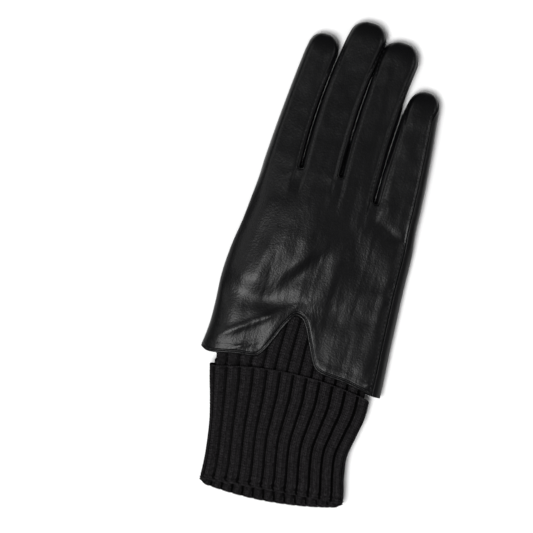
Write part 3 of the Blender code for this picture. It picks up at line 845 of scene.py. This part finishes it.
def strip_path(first, second):
    rows = range(1, FINGER_ROWS + TIP_ROWS)
    stops = [row for row in rows if finger_along(first, row) <= first.strip_end]
    down = [(first, 1.0, finger_along(first, row)) for row in reversed(stops)]
    up = [(second, 0.0, finger_along(second, row)) for row in stops]
    return down + [(first, 1.0, 0.0), (first, None, 0.0), (second, 0.0, 0.0)] + up


def bulge_of(finger, beside, along):
    """How far a strip swells towards the neighbouring finger, so that they nearly touch."""
    side = 1 if beside.number > finger.number else -1
    near_side = 90 + 90 * side
    edge = finger.point(along, 180 - near_side, 0)
    root = beside.point(0.0, near_side, 0)
    there = (edge.y - root.y) / (HAND_LENGTH + beside.length - root.y)
    if not 0 < there < 1:
        return 0.0
    gap = side * (beside.point(there, near_side, 0).x - edge.x)
    swelling = min(max(gap / 2 - SEAM_GAP / 2, 0.0), WIDEST_BULGE)
    calm = smoothstep((beside.strip_end - there) / BULGE_FADE)
    return side * swelling * calm * smoothstep((finger.strip_end - along) / BULGE_FADE)


def make_strip(name, first, second):
    path = strip_path(first, second)

    def place(column, row, depth):
        finger, side, along = path[column]
        up = row / STRIP_ROWS
        if side is None:
            above, below = back.root(finger, None, depth), palm.root(finger, None, depth)
            return below.lerp(above, mix(*WEB_SPAN, up))
        gap = seam_gap_angle(finger, along)
        top = finger.seam_angle(along, BACK_SEAM) - gap
        low = LOW_GAP * gap - finger.seam_angle(along, PALM_SEAM)
        angle = mix(low, top, up)
        spot = finger.point(along, angle if side else 180 - angle, depth)
        beside = first if finger is second else second
        spot.x += bulge_of(finger, beside, along) * math.sin(math.pi * up**BULGE_DROP)
        return spot

    return walled_piece(name, len(path), STRIP_ROWS + 1, whole, place)


strips = []
for number, between in enumerate(("index_middle", "middle_ring", "ring_little")):
    node = "fourchette_" + between
    strip = make_strip(node + "_leather", HAND[number], HAND[number + 1])
    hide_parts(node)
    strips.append(strip)
print("strips:", [strip.name for strip in strips])

# %% [markdown]
# The thumb lies under the palm: a flattened pocket, open on top where the hand's thumb goes in.
# A grid is rolled into a closed tube, its ends are welded, and the oval way in is left open by
# deleting the faces over it. Solidify then gives it the leather's thickness, inwards.

# %% Thumb
THUMB_SIDES = 56
THUMB_ROWS = 72
THUMB_END = 0.14  # share of the thumb over which each end is rounded
END_THICKNESS = 0.004  # and how far into that rounding the very end already is


def weld(sheet):
    """Joins points that lie at one place, such as the two edges of a rolled grid."""
    bmesh.ops.remove_doubles(sheet, verts=sheet.verts[:], dist=1e-6)


def thumb_point(angle, along):
    middle, half = thumb_section(along)
    ends = rounded(min(along, 1 - along) + END_THICKNESS, THUMB_END)
    across = across_section(angle)
    share = height_share(half * (1 - abs(across)), half, angle)
    y = THUMB_START + THUMB_LENGTH * along
    z = THUMB_HEIGHT / 2 + THUMB_HEIGHT * ends * (share - 0.5)
    return Vector((middle + half * across, y, z))


def make_thumb():
    sheet, column_layer, row_layer = grid_sheet(THUMB_SIDES + 1, THUMB_ROWS + 1, whole)
    for vert in sheet.verts:
        angle = 360 * (vert[column_layer] % THUMB_SIDES) / THUMB_SIDES
        along = 0.5 - 0.5 * math.cos(math.pi * vert[row_layer] / THUMB_ROWS)
        vert.co = thumb_point(angle, along)
    weld(sheet)
    bmesh.ops.holes_fill(sheet, edges=sheet.edges[:], sides=0)
    bmesh.ops.recalc_face_normals(sheet, faces=sheet.faces[:])
    upper = [face for face in sheet.faces if face.calc_center_median().z > THUMB_HEIGHT / 2]
    for vert in {vert for face in upper for vert in face.verts}:
        vert.co = out_of_hole(vert.co)
    open_hole(sheet, upper)
    bmesh.ops.translate(sheet, verts=sheet.verts[:], vec=ZERO)
    thumb = finished("thumb_leather", sheet)
    wall = thumb.modifiers.new("leather thickness", "SOLIDIFY")
    wall.thickness = LEATHER
    wall.offset = -1.0
    soften(thumb)
    return thumb


thumb_leather = make_thumb()
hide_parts("thumb")
print("thumb:", len(thumb_leather.data.polygons), "faces before thickness")

# %% [markdown]
# The cuff is a tube of rib knit that is turned up once, so it has two layers and a fold at the
# wrist opening. A flattened tube is a stadium in section: two flat sides and two half circles.
# Each place on the knit is given by how far down the layer it is and how far round the tube.

# %% Shape of the cuff
KNIT = 0.0023
CUFF_TOP_WIDTH = 0.1020
CUFF_TURN = 0.0720  # length of the turned-up layer
CUFF_DROP = 0.0035  # how far its free edge starts below the leather's lower edge
CUFF_INSIDE = 0.0430  # how far the knit reaches up inside the leather, under the back
CUFF_UNDER = 0.0120  # and over the palm
CUFF_HEIGHT = 0.0160
LAYER_GAP = 0.0005
CUFF_CLEARANCE = 0.0004
CUFF_SIDES = (
    # below the free edge, index side, little finger's side
    (-0.66, -0.500, 0.500),
    (-0.04, -0.500, 0.518),
    (0.15, -0.470, 0.522),
    (0.34, -0.430, 0.500),
    (0.52, -0.396, 0.482),
    (0.70, -0.374, 0.500),
    (0.86, -0.360, 0.528),
    (1.00, -0.354, 0.540),
    (1.14, -0.352, 0.540),
)
SECOND_LAYER = KNIT + LAYER_GAP  # depth of the inner layer's outer face
INNER_FACE = 2 * KNIT + LAYER_GAP
SIDE_ROOM = 2.6  # how far inside the leather's sides the hidden knit stays, in leather thicknesses
TOP_ROOM = 0.08  # and below its top, as a share of the hand's height
FREE_EDGE = (-0.12, 0.050, 0.0)  # each at the left, in the middle and at the right
FREE_EDGE_UNDER = (-0.06, -0.03, -0.03)
UPPER_FOLD = (-1.055, -0.975, -0.915)
LOWER_FOLD = (-1.065, -1.085, -0.945)


def cuff_box(y):
    """Left, right, low and high of the cuff's outermost face at a place along it."""
    below = -(y + CUFF_DROP) / CUFF_TURN
    left = CUFF_TOP_WIDTH * read_table(CUFF_SIDES, below, 1)
    right = CUFF_TOP_WIDTH * read_table(CUFF_SIDES, below, 2)
    height = max(y, 0.0) / HAND_LENGTH
    room = SIDE_ROOM * LEATHER + CUFF_CLEARANCE - SECOND_LAYER
    hand_left, hand_right = hand_sides(height, 0)
    inside = smoothstep(y / (CUFF_INSIDE / 2))
    left = mix(left, max(left, hand_left + room), inside)
    right = mix(right, min(right, hand_right - room), inside)
    low = mix(0.0, LEATHER + CUFF_CLEARANCE - SECOND_LAYER, inside)
    covered = LEATHER + CUFF_CLEARANCE + TOP_ROOM * HAND_HEIGHT - SECOND_LAYER
    return left, right, low, mix(CUFF_HEIGHT, hand_height(height) - covered, inside)


def stadium_point(box, share, depth):
    """A point and its outward direction on a flattened tube, at a share of the way round it."""
    left, right, low, high = box
    left, right, low, high = left + depth, right - depth, low + depth, high - depth
    radius = (high - low) / 2
    flat = right - left - 2 * radius
    middle, centre = (left + right) / 2, (low + high) / 2
    walked = (share % 1.0) * (2 * flat + 2 * math.pi * radius)
    for side in (1, -1):
        if walked <= flat:
            return middle + side * (walked - flat / 2), centre - side * radius, 0.0, -side
        walked -= flat
        if walked <= math.pi * radius:
            out, up = side * math.sin(walked / radius), -side * math.cos(walked / radius)
            return middle + side * flat / 2 + radius * out, centre + radius * up, out, up
        walked -= math.pi * radius
    return middle - flat / 2, centre - radius, 0.0, -1.0


def knit_point(kind, place, depth, share):
    """A point of the knit, at a share of the way round.

    The kind is "inside" the leather, "turn" between the free edge and the fold, or "fold".
    """
    half_way = cuff_box(-CUFF_TURN / 2)
    guide_x, _, _, guide_up = stadium_point(half_way, share, max(depth, 0.0))
    across = min(max(guide_x / CUFF_TOP_WIDTH + 0.5, 0.0), 1.0)
    upper = smoothstep((guide_up + 1) / 2)
    edge = mix(three_point(FREE_EDGE_UNDER, across), three_point(FREE_EDGE, across), upper)
    free = CUFF_TURN * edge - CUFF_DROP
    fold = mix(three_point(LOWER_FOLD, across), three_point(UPPER_FOLD, across), upper)
    fold = CUFF_TURN * fold - CUFF_DROP
    if kind == "inside":
        y = place * mix(CUFF_UNDER, CUFF_INSIDE, upper)
    elif kind == "fold":
        y = fold + place
    else:
        y = mix(free, fold + KNIT, place)
    x, z, _, _ = stadium_point(cuff_box(y), share, depth)
    return placed(Vector((x, y, z)))


# %% [markdown]
# Under the stitches lies a plain wall of both layers, hollowed between the ribs. It is one closed
# profile, from inside the leather down to the fold, round it, up the turned-up layer and back.

# %% Wall of the cuff
RIBS = 26
RIB_CELLS = 10
RIB_RELIEF = 0.0014
GROOVE_START = 0.45  # where the groove starts and is deepest, from a rib's middle to its side
GROOVE_FULL = 0.95
YARN = 0.00052
FOLD_RELIEF = 0.6
# painted shade: the wall shows between the stitches, so it is darkened half way to the groove
# colour on a rib
WALL_PAINTED_SHADE = 0.5  # shade of the wall on top of a rib
EDGE_ROUND = 0.012  # how far the free edge rounds over, along the turned-up layer


def rib_hollow(share):
    """1 in the groove between two ribs, 0 on top of a rib."""
    beside = abs((share * RIBS) % 1.0 - 0.5) * 2
    return smoothstep((beside - GROOVE_START) / (GROOVE_FULL - GROOVE_START))


def stretch(kind, start, end, steps, *rest):
    """Even stations from a start to an end, all with the rest of their values alike."""
    return [(kind, mix(start, end, step / steps), *rest) for step in range(steps + 1)]


def bent(reach, shares, *rest):
    """Stations round the fold, at shares from its inner face at 0 to its outer face at 1."""
    middle = INNER_FACE / 2
    turns = [math.pi * share for share in shares]
    places = [(middle - reach * math.sin(turn), middle + reach * math.cos(turn)) for turn in turns]
    return [("fold", place, depth, *rest) for place, depth in places]


def edge_stations():
    """Stations round the free edge of the turned-up layer."""
    stops = []
    for step in range(5):
        share = (step + 0.5) / 5
        depth = KNIT * (1 - math.cos(math.pi * share)) / 2
        stops.append(("turn", EDGE_ROUND * (1 - math.sin(math.pi * share)), depth, 1 - share))
    return stops


def wall_profile():
    """Stations of the wall: kind, place, depth, and how much of the ribs' relief it has."""
    return [
        # kind, start, end, steps, depth, relief
        *stretch("inside", 1.0, 0.0, 16, INNER_FACE, 0.0),
        *stretch("turn", 0.04, 0.94, 24, INNER_FACE, 0.0),
        *bent(INNER_FACE / 2, [step / 12 for step in range(13)], FOLD_RELIEF),
        *stretch("turn", 0.94, 0.02, 32, 0.0, 1.0),
        *edge_stations(),
        *stretch("turn", 0.02, 0.94, 12, KNIT, 0.0),
        *bent(LAYER_GAP / 2, (1.0, 0.5, 0.0), 0.0),
        *stretch("turn", 0.94, 0.04, 24, SECOND_LAYER, 1.0),
        *stretch("inside", 0.0, 1.0, 20, SECOND_LAYER, 1.0),
    ]


def sunk(station, sink, share):
    """A point of the knit at a station, sunk into its layer."""
    kind, place, depth = station[:3]
    inwards = -1 if depth > SECOND_LAYER else 1
    return knit_point(kind, place, depth + inwards * sink, share)


def make_cuff_wall():
    profile = wall_profile()
    around = RIBS * RIB_CELLS
    sheet, column_layer, row_layer = grid_sheet(around + 1, len(profile) + 1, whole)
    painted_shade_and_tone_layer = sheet.verts.layers.float.new("painted_shade_and_tone")
    for vert in sheet.verts:
        share = (vert[column_layer] % around) / around
        # painted shade, rising to the full groove colour in the grooves between the ribs
        vert[painted_shade_and_tone_layer] = mix(WALL_PAINTED_SHADE, 1.0, rib_hollow(share))
        station = profile[vert[row_layer] % len(profile)]
        ribbed = station[3]
        vert.co = sunk(station, ribbed * (YARN + RIB_RELIEF * rib_hollow(share)), share)
    weld(sheet)
    return finished("cuff_wall", sheet)


cuff_wall = make_cuff_wall()
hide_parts("knit_cuff")
print("cuff wall:", len(cuff_wall.data.polygons), "faces")

# %% [markdown]
# The finest marks are too small to model, so they are made in the shader as node groups that turn
# a place on the glove into a height. The leather's is a pebbled grain under soft wrinkles that
# run along the hand. The yarn's is a coarse, uneven fibre that also breaks up its colour.

# %% Grain of the leather and fibre of the yarn
def new_group(name, outputs):
    """A shader node group that takes a position and gives some values."""
    group = bpy.data.node_groups.new(name, "ShaderNodeTree")
    group.interface.new_socket("Position", in_out="INPUT", socket_type="NodeSocketVector")
    for output in outputs:
        group.interface.new_socket(output, in_out="OUTPUT", socket_type="NodeSocketFloat")
    position = group.nodes.new("NodeGroupInput").outputs["Position"]
    return group, position, group.nodes.new("NodeGroupOutput")


def noise_of(group, position, bump_size, stretch=1.0):
    """Noise with bumps of about one size, drawn out along the glove by the stretch."""
    mapping = group.nodes.new("ShaderNodeMapping")
    mapping.inputs["Scale"].default_value = (1.0, 1.0 / stretch, 1.0)
    texture = group.nodes.new("ShaderNodeTexNoise")
    texture.inputs["Scale"].default_value = 1.0 / bump_size
    texture.inputs["Detail"].default_value = 2.0
    group.links.new(position, mapping.inputs["Vector"])
    group.links.new(mapping.outputs["Vector"], texture.inputs["Vector"])
    return texture.outputs["Fac"]


def pebbles_of(group, position, pebble_size):
    """Rounded pebbles: the distance to the nearest of many scattered centres."""
    texture = group.nodes.new("ShaderNodeTexVoronoi")
    texture.feature = "SMOOTH_F1"
    texture.inputs["Scale"].default_value = 1.0 / pebble_size
    group.links.new(position, texture.inputs["Vector"])
    return texture.outputs["Distance"]


def weighted(group, base, *parts):
    """A base value plus each socket times its own weight."""
    total = None
    for socket, weight in parts:
        adding = group.nodes.new("ShaderNodeMath")
        adding.operation = "MULTIPLY_ADD"
        adding.inputs[1].default_value = weight
        adding.inputs[2].default_value = base
        group.links.new(socket, adding.inputs[0])
        if total:
            group.links.new(total, adding.inputs[2])
        total = adding.outputs["Value"]
    return total


def leather_grain():
    group, position, result = new_group("leather_grain", ("Height", "Roughness"))
    pebbles = pebbles_of(group, position, 0.0009)
    wrinkles = noise_of(group, position, 0.0045, stretch=3.0)
    fine = noise_of(group, position, 0.0016)
    patches = noise_of(group, position, 0.020)
    height = weighted(group, 0.0, (pebbles, -0.30), (wrinkles, 1.00), (fine, 0.30))
    roughness = weighted(group, 0.24, (patches, 0.12), (fine, 0.08))
    group.links.new(height, result.inputs["Height"])
    group.links.new(roughness, result.inputs["Roughness"])
    return group


def yarn_fibre():
    group, position, result = new_group("yarn_fibre", ("Height", "Mottle"))
    fibres = noise_of(group, position, 0.0005)
    tufts = noise_of(group, position, 0.0018)
    group.links.new(fibres, result.inputs["Height"])
    mottle = weighted(group, -1.1, (fibres, 1.6), (tufts, 1.6))
    group.links.new(mottle, result.inputs["Mottle"])
    return group


grain_group, fibre_group = leather_grain(), yarn_fibre()
print("node groups:", grain_group.name, fibre_group.name)

# %% [markdown]
# Smooth leather is dyed through and finished with a thin glaze, so it is almost black with a
# soft, broken highlight. Wool knit is as dark but has no gloss at all. Each piece of the knit
# carries a painted shade from 0 on top of a rib to 1 in a groove. It darkens the yarn towards a
# near-black where the grooves lie in shade, and it also carries a random tone on the stitches.

# %% Materials
def principled(name, colour, roughness, gloss=0.5):
    material = bpy.data.materials.new(name)
    material.use_nodes = True
    shader = material.node_tree.nodes["Principled BSDF"]
    shader.inputs["Base Color"].default_value = (*colour, 1.0)
    shader.inputs["Roughness"].default_value = roughness
    shader.inputs["Specular IOR Level"].default_value = gloss
    return material, shader


def relief(material, shader, group, depth, strength):
    """Reads a node group at the piece's own coordinates and uses its height as a bump."""
    tree = material.node_tree
    coordinates = tree.nodes.new("ShaderNodeTexCoord")
    marks = tree.nodes.new("ShaderNodeGroup")
    marks.node_tree = group
    raised = tree.nodes.new("ShaderNodeBump")
    raised.inputs["Distance"].default_value = depth
    raised.inputs["Strength"].default_value = strength
    tree.links.new(coordinates.outputs["Object"], marks.inputs["Position"])
    tree.links.new(marks.outputs["Height"], raised.inputs["Height"])
    tree.links.new(raised.outputs["Normal"], shader.inputs["Normal"])
    return marks


def blended(tree, factor, first, second):
    """A colour between two others, each given as a colour or as a socket.

    A Mix node has sockets of the same names for each type of data, so they go by number here.
    """
    blending = tree.nodes.new("ShaderNodeMix")
    blending.data_type = "RGBA"
    tree.links.new(factor, blending.inputs[0])
    for number, colour in ((6, first), (7, second)):
        if isinstance(colour, tuple):
            blending.inputs[number].default_value = (*colour, 1.0)
        else:
            tree.links.new(colour, blending.inputs[number])
    return blending.outputs[2]


def yarn_colours(material, shader, marks, pale, dark, painted_groove_shade):
    """Mottled yarn with painted shade: darker the more the piece's painted shade says it lies in a
    groove.
    """
    tree = material.node_tree
    painted_shade_and_tone = tree.nodes.new("ShaderNodeAttribute")
    painted_shade_and_tone.attribute_name = "painted_shade_and_tone"
    mottled = blended(tree, marks.outputs["Mottle"], dark, pale)
    shaded = blended(tree, painted_shade_and_tone.outputs["Fac"], mottled, painted_groove_shade)
    tree.links.new(shaded, shader.inputs["Base Color"])


LEATHER_BLACK = (0.0020, 0.0020, 0.0023)
YARN_BLACK = (0.011, 0.0105, 0.011)
YARN_COLOURS = {
    "pale": (0.026, 0.0245, 0.026),
    "dark": (0.007, 0.0065, 0.007),
    # the groove colour is painted shade, for the grooves and the sides of the ribs
    "painted_groove_shade": (0.001, 0.001, 0.001),
}
# black thread made lighter than the leather's black, a painted sheen along the lines of stitches
THREAD_BLACK_AND_PAINTED_SHEEN = (0.014, 0.014, 0.015)

leather, leather_shader = principled("black_leather", LEATHER_BLACK, roughness=0.40, gloss=0.155)
leather_marks = relief(leather, leather_shader, grain_group, depth=0.0006, strength=0.35)
leather.node_tree.links.new(leather_marks.outputs["Roughness"], leather_shader.inputs["Roughness"])
knit, knit_shader = principled("black_knit", YARN_BLACK, roughness=1.0, gloss=0.0)
knit_marks = relief(knit, knit_shader, fibre_group, depth=0.0003, strength=0.8)
yarn_colours(knit, knit_shader, knit_marks, **YARN_COLOURS)
thread, _ = principled("black_thread", THREAD_BLACK_AND_PAINTED_SHEEN, roughness=0.50, gloss=0.3)
for piece in [back_leather, palm_leather, thumb_leather, *strips]:
    piece.data.materials.append(leather)
cuff_wall.data.materials.append(knit)
print("materials:", leather.name, knit.name, thread.name)

# %% [markdown]
# Stitches are small and many, so one shape is modelled and Geometry Nodes sets it on every point
# of a cloud. Each point carries its own turn and size. The instances are then made real and kept
# as one plain mesh, and the node tree and the single shape are thrown away.

# %% Many small shapes on points
BALL_SIDES = 6
BALL_RINGS = 4
BALL_FACES = BALL_SIDES * BALL_RINGS


def placing_tree(shape):
    tree = bpy.data.node_groups.new("placed_" + shape.name, "GeometryNodeTree")
    tree.interface.new_socket("Geometry", in_out="INPUT", socket_type="NodeSocketGeometry")
    tree.interface.new_socket("Geometry", in_out="OUTPUT", socket_type="NodeSocketGeometry")
    points = tree.nodes.new("NodeGroupInput")
    source = tree.nodes.new("GeometryNodeObjectInfo")
    source.inputs["Object"].default_value = shape
    placing = tree.nodes.new("GeometryNodeInstanceOnPoints")
    real = tree.nodes.new("GeometryNodeRealizeInstances")
    result = tree.nodes.new("NodeGroupOutput")
    tree.links.new(points.outputs["Geometry"], placing.inputs["Points"])
    tree.links.new(source.outputs["Geometry"], placing.inputs["Instance"])
    for attribute, socket in (("turn", "Rotation"), ("size", "Scale")):
        reader = tree.nodes.new("GeometryNodeInputNamedAttribute")
        reader.data_type = "FLOAT_VECTOR"
        reader.inputs["Name"].default_value = attribute
        tree.links.new(reader.outputs["Attribute"], placing.inputs[socket])
    tree.links.new(placing.outputs["Instances"], real.inputs["Geometry"])
    tree.links.new(real.outputs["Geometry"], result.inputs["Geometry"])
    return tree


def cloud_of(spots):
    """Loose points that carry each spot's turn, size, and painted shade with random tone."""
    cloud = bmesh.new()
    turn_layer = cloud.verts.layers.float_vector.new("turn")
    size_layer = cloud.verts.layers.float_vector.new("size")
    painted_shade_and_tone_layer = cloud.verts.layers.float.new("painted_shade_and_tone")
    for place, rotation, radii, painted_shade_and_tone in spots:
        point = bmesh.ops.create_vert(cloud, co=place)["vert"][0]
        point[turn_layer] = Vector(rotation.to_euler())
        point[size_layer] = Vector(radii)
        point[painted_shade_and_tone_layer] = painted_shade_and_tone
    return cloud


def scattered(name, spots, material):
    """One mesh of ellipsoids: each spot is a place, a rotation, three radii and a painted shade."""
    ball = bmesh.new()
    bmesh.ops.create_uvsphere(ball, u_segments=BALL_SIDES, v_segments=BALL_RINGS, radius=1.0)
    shape_mesh = mesh_from(ball, name + "_shape")
    shape_mesh.shade_smooth()
    shape_mesh.materials.append(material)
    shape = bpy.data.objects.new(name + "_shape", shape_mesh)
    points = linked(name + "_points", mesh_from(cloud_of(spots), name + "_points"))
    tree = placing_tree(shape)
    points.modifiers.new("set shapes", "NODES").node_group = tree
    evaluated = points.evaluated_get(bpy.context.evaluated_depsgraph_get())
    mesh = bpy.data.meshes.new_from_object(evaluated)
    mesh.name = name
    piece = linked(name, mesh)
    bpy.data.objects.remove(points)
    bpy.data.objects.remove(shape)
    bpy.data.node_groups.remove(tree)
    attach(piece, "root")
    return piece


def facing(forward, sideways):
    """Rotation whose Y runs forward and whose Z stands off the surface."""
    forward = forward.normalized()
    off = sideways.cross(forward).normalized()
    side = forward.cross(off)
    return Matrix((side, forward, off)).transposed()


# %% [markdown]
# A rib of this cuff is three columns of plain stitches, and between two ribs the knit turns to
# the other side and sinks into a groove, which is painted dark as shade. Each plain stitch shows
# as a V of yarn: two short legs that lean apart. They are set in rows from the free edge down the
# turned-up layer, round the fold and a little way up inside, where the eye can still reach.

# %% Knit stitches
RIB_COLUMNS = (0.240, 0.5, 0.760)  # places of the three columns across a rib
SIDE_COLUMN_SINK = 0.00050
# painted shade on a rib's two side columns, darker as they round off into the grooves
SIDE_PAINTED_SHADE = 0.30
# painted shade on the bound-off loops along the free edge
EDGE_PAINTED_SHADE = 0.2
LEG_LEAN = math.radians(24.0)
LEG_LENGTH = 0.68  # radius along a leg, as a share of the distance between rows
LEG_WIDTH = 0.29  # radius across a leg, as a share of the distance between columns
LEG_HEIGHT = 0.00046
LEG_SINK = 0.9  # how deep a leg lies in the wall, as a share of its height
# the wobble also gives each leg a random tone on top of its painted shade
WOBBLE = 0.22  # how much the legs differ in lean, height and shade
WOBBLES = 900  # and how fast that changes, in changes a metre
COLUMN_PITCH = (RIB_COLUMNS[1] - RIB_COLUMNS[0]) / RIBS
TURN_ROWS = 42
INSIDE_ROWS = 12
TUBE_ROWS = 24
EDGE_LOOPS = RIBS * 6
LOOP_PLACE = 0.004  # along the turned-up layer
BELOW_LOOPS = 0.030
LOOP_DEPTH = 0.0006
LOOP_RADII = (0.00050, 0.62, 0.00055)  # the middle one as a share of the step to the next loop


def stitch_rows():
    """Stations of the rows of stitches, from the free edge round the fold to inside."""
    outside = stretch("turn", 0.015, 0.995, TURN_ROWS, 0.0)[:-1]
    inside = stretch("turn", 0.985, 0.015, TURN_ROWS, INNER_FACE)[:INSIDE_ROWS]
    return outside + bent(INNER_FACE / 2, (0.9, 0.7, 0.5, 0.3, 0.1)) + inside


def tube_rows():
    """The same for the tube, from under the turned-up layer to inside the leather."""
    under = stretch("turn", 0.075, 0.025, 2, SECOND_LAYER)
    return under + stretch("inside", 0.0, 1.0, TUBE_ROWS, SECOND_LAYER)


def yarn_leg(row, following, centre, side, outer_column):
    """One leg of a stitch, as a spot for scattered()."""
    sink = LEG_HEIGHT * LEG_SINK + (SIDE_COLUMN_SINK if outer_column else 0.0)
    share = centre + side * COLUMN_PITCH / 4
    spot = sunk(row, sink, share)
    along = sunk(following, sink, share) - spot
    across = sunk(row, sink, share + COLUMN_PITCH) - spot
    wobble = WOBBLE * noise.noise(spot * WOBBLES)
    lean = side * LEG_LEAN + wobble
    ahead = across.normalized() * math.sin(lean) - along.normalized() * math.cos(lean)
    radii = (across.length * LEG_WIDTH, along.length * LEG_LENGTH, LEG_HEIGHT * (1 + wobble))
    # painted shade on the side columns, plus the wobble's random tone
    painted_shade_and_tone = max((SIDE_PAINTED_SHADE if outer_column else 0.0) + wobble, 0.0)
    return spot, facing(ahead, across), radii, painted_shade_and_tone


def yarn_legs(rows, ribs):
    spots = []
    for row, following in zip(rows, rows[1:]):
        for rib in ribs:
            for column, place in enumerate(RIB_COLUMNS):
                for side in (-1, 1):
                    centre = (rib + place) / RIBS
                    spots.append(yarn_leg(row, following, centre, side, column != 1))
    return spots


def edge_loops():
    """The bound-off loops that lie along the free edge."""
    spots = []
    for loop in range(EDGE_LOOPS):
        share = loop / EDGE_LOOPS
        spot = knit_point("turn", LOOP_PLACE, LOOP_DEPTH, share)
        ahead = knit_point("turn", LOOP_PLACE, LOOP_DEPTH, share + 1 / EDGE_LOOPS) - spot
        down = knit_point("turn", BELOW_LOOPS, LOOP_DEPTH, share) - spot
        radii = (LOOP_RADII[0], ahead.length * LOOP_RADII[1], LOOP_RADII[2])
        spots.append((spot, facing(ahead, down), radii, EDGE_PAINTED_SHADE))
    return spots


upper_ribs = range(RIBS // 2, RIBS)
lower_ribs = range(RIBS // 2)
yarn_spots = {
    "upper_stitches": yarn_legs(stitch_rows(), upper_ribs),
    "lower_stitches": yarn_legs(stitch_rows(), lower_ribs),
    "tube_stitches": yarn_legs(tube_rows(), upper_ribs),
    "edge_stitches": edge_loops(),
}
knit_pieces = [scattered(name, spots, knit) for name, spots in yarn_spots.items()]
print("yarn pieces:", {piece.name: len(piece.data.polygons) for piece in knit_pieces})

# %% [markdown]
# The leather is sewn with fine black thread. A line of stitches follows the lower edge on the
# back, and one runs inside each seam of the fingers that shows from above. A stitch is a short
# ellipsoid that sinks halfway into the leather.

# %% Stitches of the leather
STITCH_LENGTH = 0.0021
STITCH_GAP = 0.0008
THREAD = 0.00022
SEAM_STEPS = 90
LONG_SEAM = 0.03  # where a line of stitches starts: near the lower edge, or just above the root
SHORT_SEAM = 1.02


def sewn_along(path):
    """Stitches at even steps along a list of places."""
    spots = []
    wanted = STITCH_LENGTH / 2
    walked = 0.0
    for start, end in zip(path, path[1:]):
        step = (end - start).length
        while wanted <= walked + step:
            spot = start.lerp(end, (wanted - walked) / step)
            ahead = end - start
            rotation = facing(ahead, Vector((0.0, 0.0, 1.0)).cross(ahead))
            spots.append((spot, rotation, (THREAD, STITCH_LENGTH / 2, THREAD), 0.0))
            wanted += STITCH_LENGTH + STITCH_GAP
        walked += step
    return spots


def hem_path(panel):
    path = []
    for finger, share in panel.columns:
        root = panel.root(finger, share, 0)
        across = share_across(root.x, 0) - 0.5
        up = HEM_STITCHES * panel.hem_slant(across) / (root.y - panel.hem(across))
        path.append(placed(panel.hand_spot(finger, share, up, 0)))
    return path


def seam_path(panel, finger, side, start):
    path = []
    for step in range(SEAM_STEPS + 1):
        height = mix(start, 1 + finger.strip_end, step / SEAM_STEPS)
        inwards = SEAM_STITCHES / panel.width_over(finger, max(height - 1, 0.0))
        share = 1 - inwards if side else inwards
        path.append(placed(panel.spot(finger, share, height, 0)))
    return path


def sewn_lines():
    """The lower edge, the long seam down the hand's right side, and each side of the strips."""
    spots = sewn_along(hem_path(back))
    for finger in HAND:
        if finger is not HAND[0]:
            spots += sewn_along(seam_path(back, finger, 0, SHORT_SEAM))
        start = LONG_SEAM if finger is HAND[-1] else SHORT_SEAM
        spots += sewn_along(seam_path(back, finger, 1, start))
    return spots


stitches = scattered("leather_stitches", sewn_lines(), thread)
print("stitches:", len(stitches.data.polygons) // BALL_FACES)

# %% [markdown]
# The glove was photographed on white under soft light from all round, so its shadow is faint. One
# large square light hangs overhead, two weak ones fill in from the sides, and the room is pale.

# %% Floor and light
FLOOR_DROP = 0.0005
LIGHTS = (
    # name, place, side of the square in metres, power in watts
    ("overhead_softbox", (-0.35, -0.65, 2.1), 0.9, 55.0),
    ("right_softbox", (1.3, 0.6, 1.2), 0.8, 6.0),
    ("left_softbox", (-1.3, 0.3, 1.2), 0.8, 5.0),
)
ROOM_LIGHT = 0.15


def make_floor(size):
    sheet = bmesh.new()
    bmesh.ops.create_grid(sheet, x_segments=1, y_segments=1, size=size)
    floor = linked("floor", mesh_from(sheet, "floor"))
    floor.location.z = -FLOOR_DROP
    white, _ = principled("white_paper", (0.86, 0.86, 0.86), 0.9)
    floor.data.materials.append(white)


def make_light(name, place, side, power):
    data = bpy.data.lights.new(name, "AREA")
    data.shape = "SQUARE"
    data.size = side
    data.energy = power
    light = linked(name, data)
    light.location = Vector(place)
    light.rotation_euler = (-Vector(place)).to_track_quat("-Z", "Y").to_euler()


make_floor(3.0)
for row in LIGHTS:
    make_light(*row)
world = bpy.data.worlds.new("white_room")
world.use_nodes = True
background = world.node_tree.nodes["Background"]
background.inputs["Color"].default_value = (1.0, 1.0, 1.0, 1.0)
background.inputs["Strength"].default_value = ROOM_LIGHT
bpy.context.scene.world = world
bpy.context.scene.view_settings.view_transform = "Standard"
print("lights:", [thing.name for thing in bpy.data.lights])
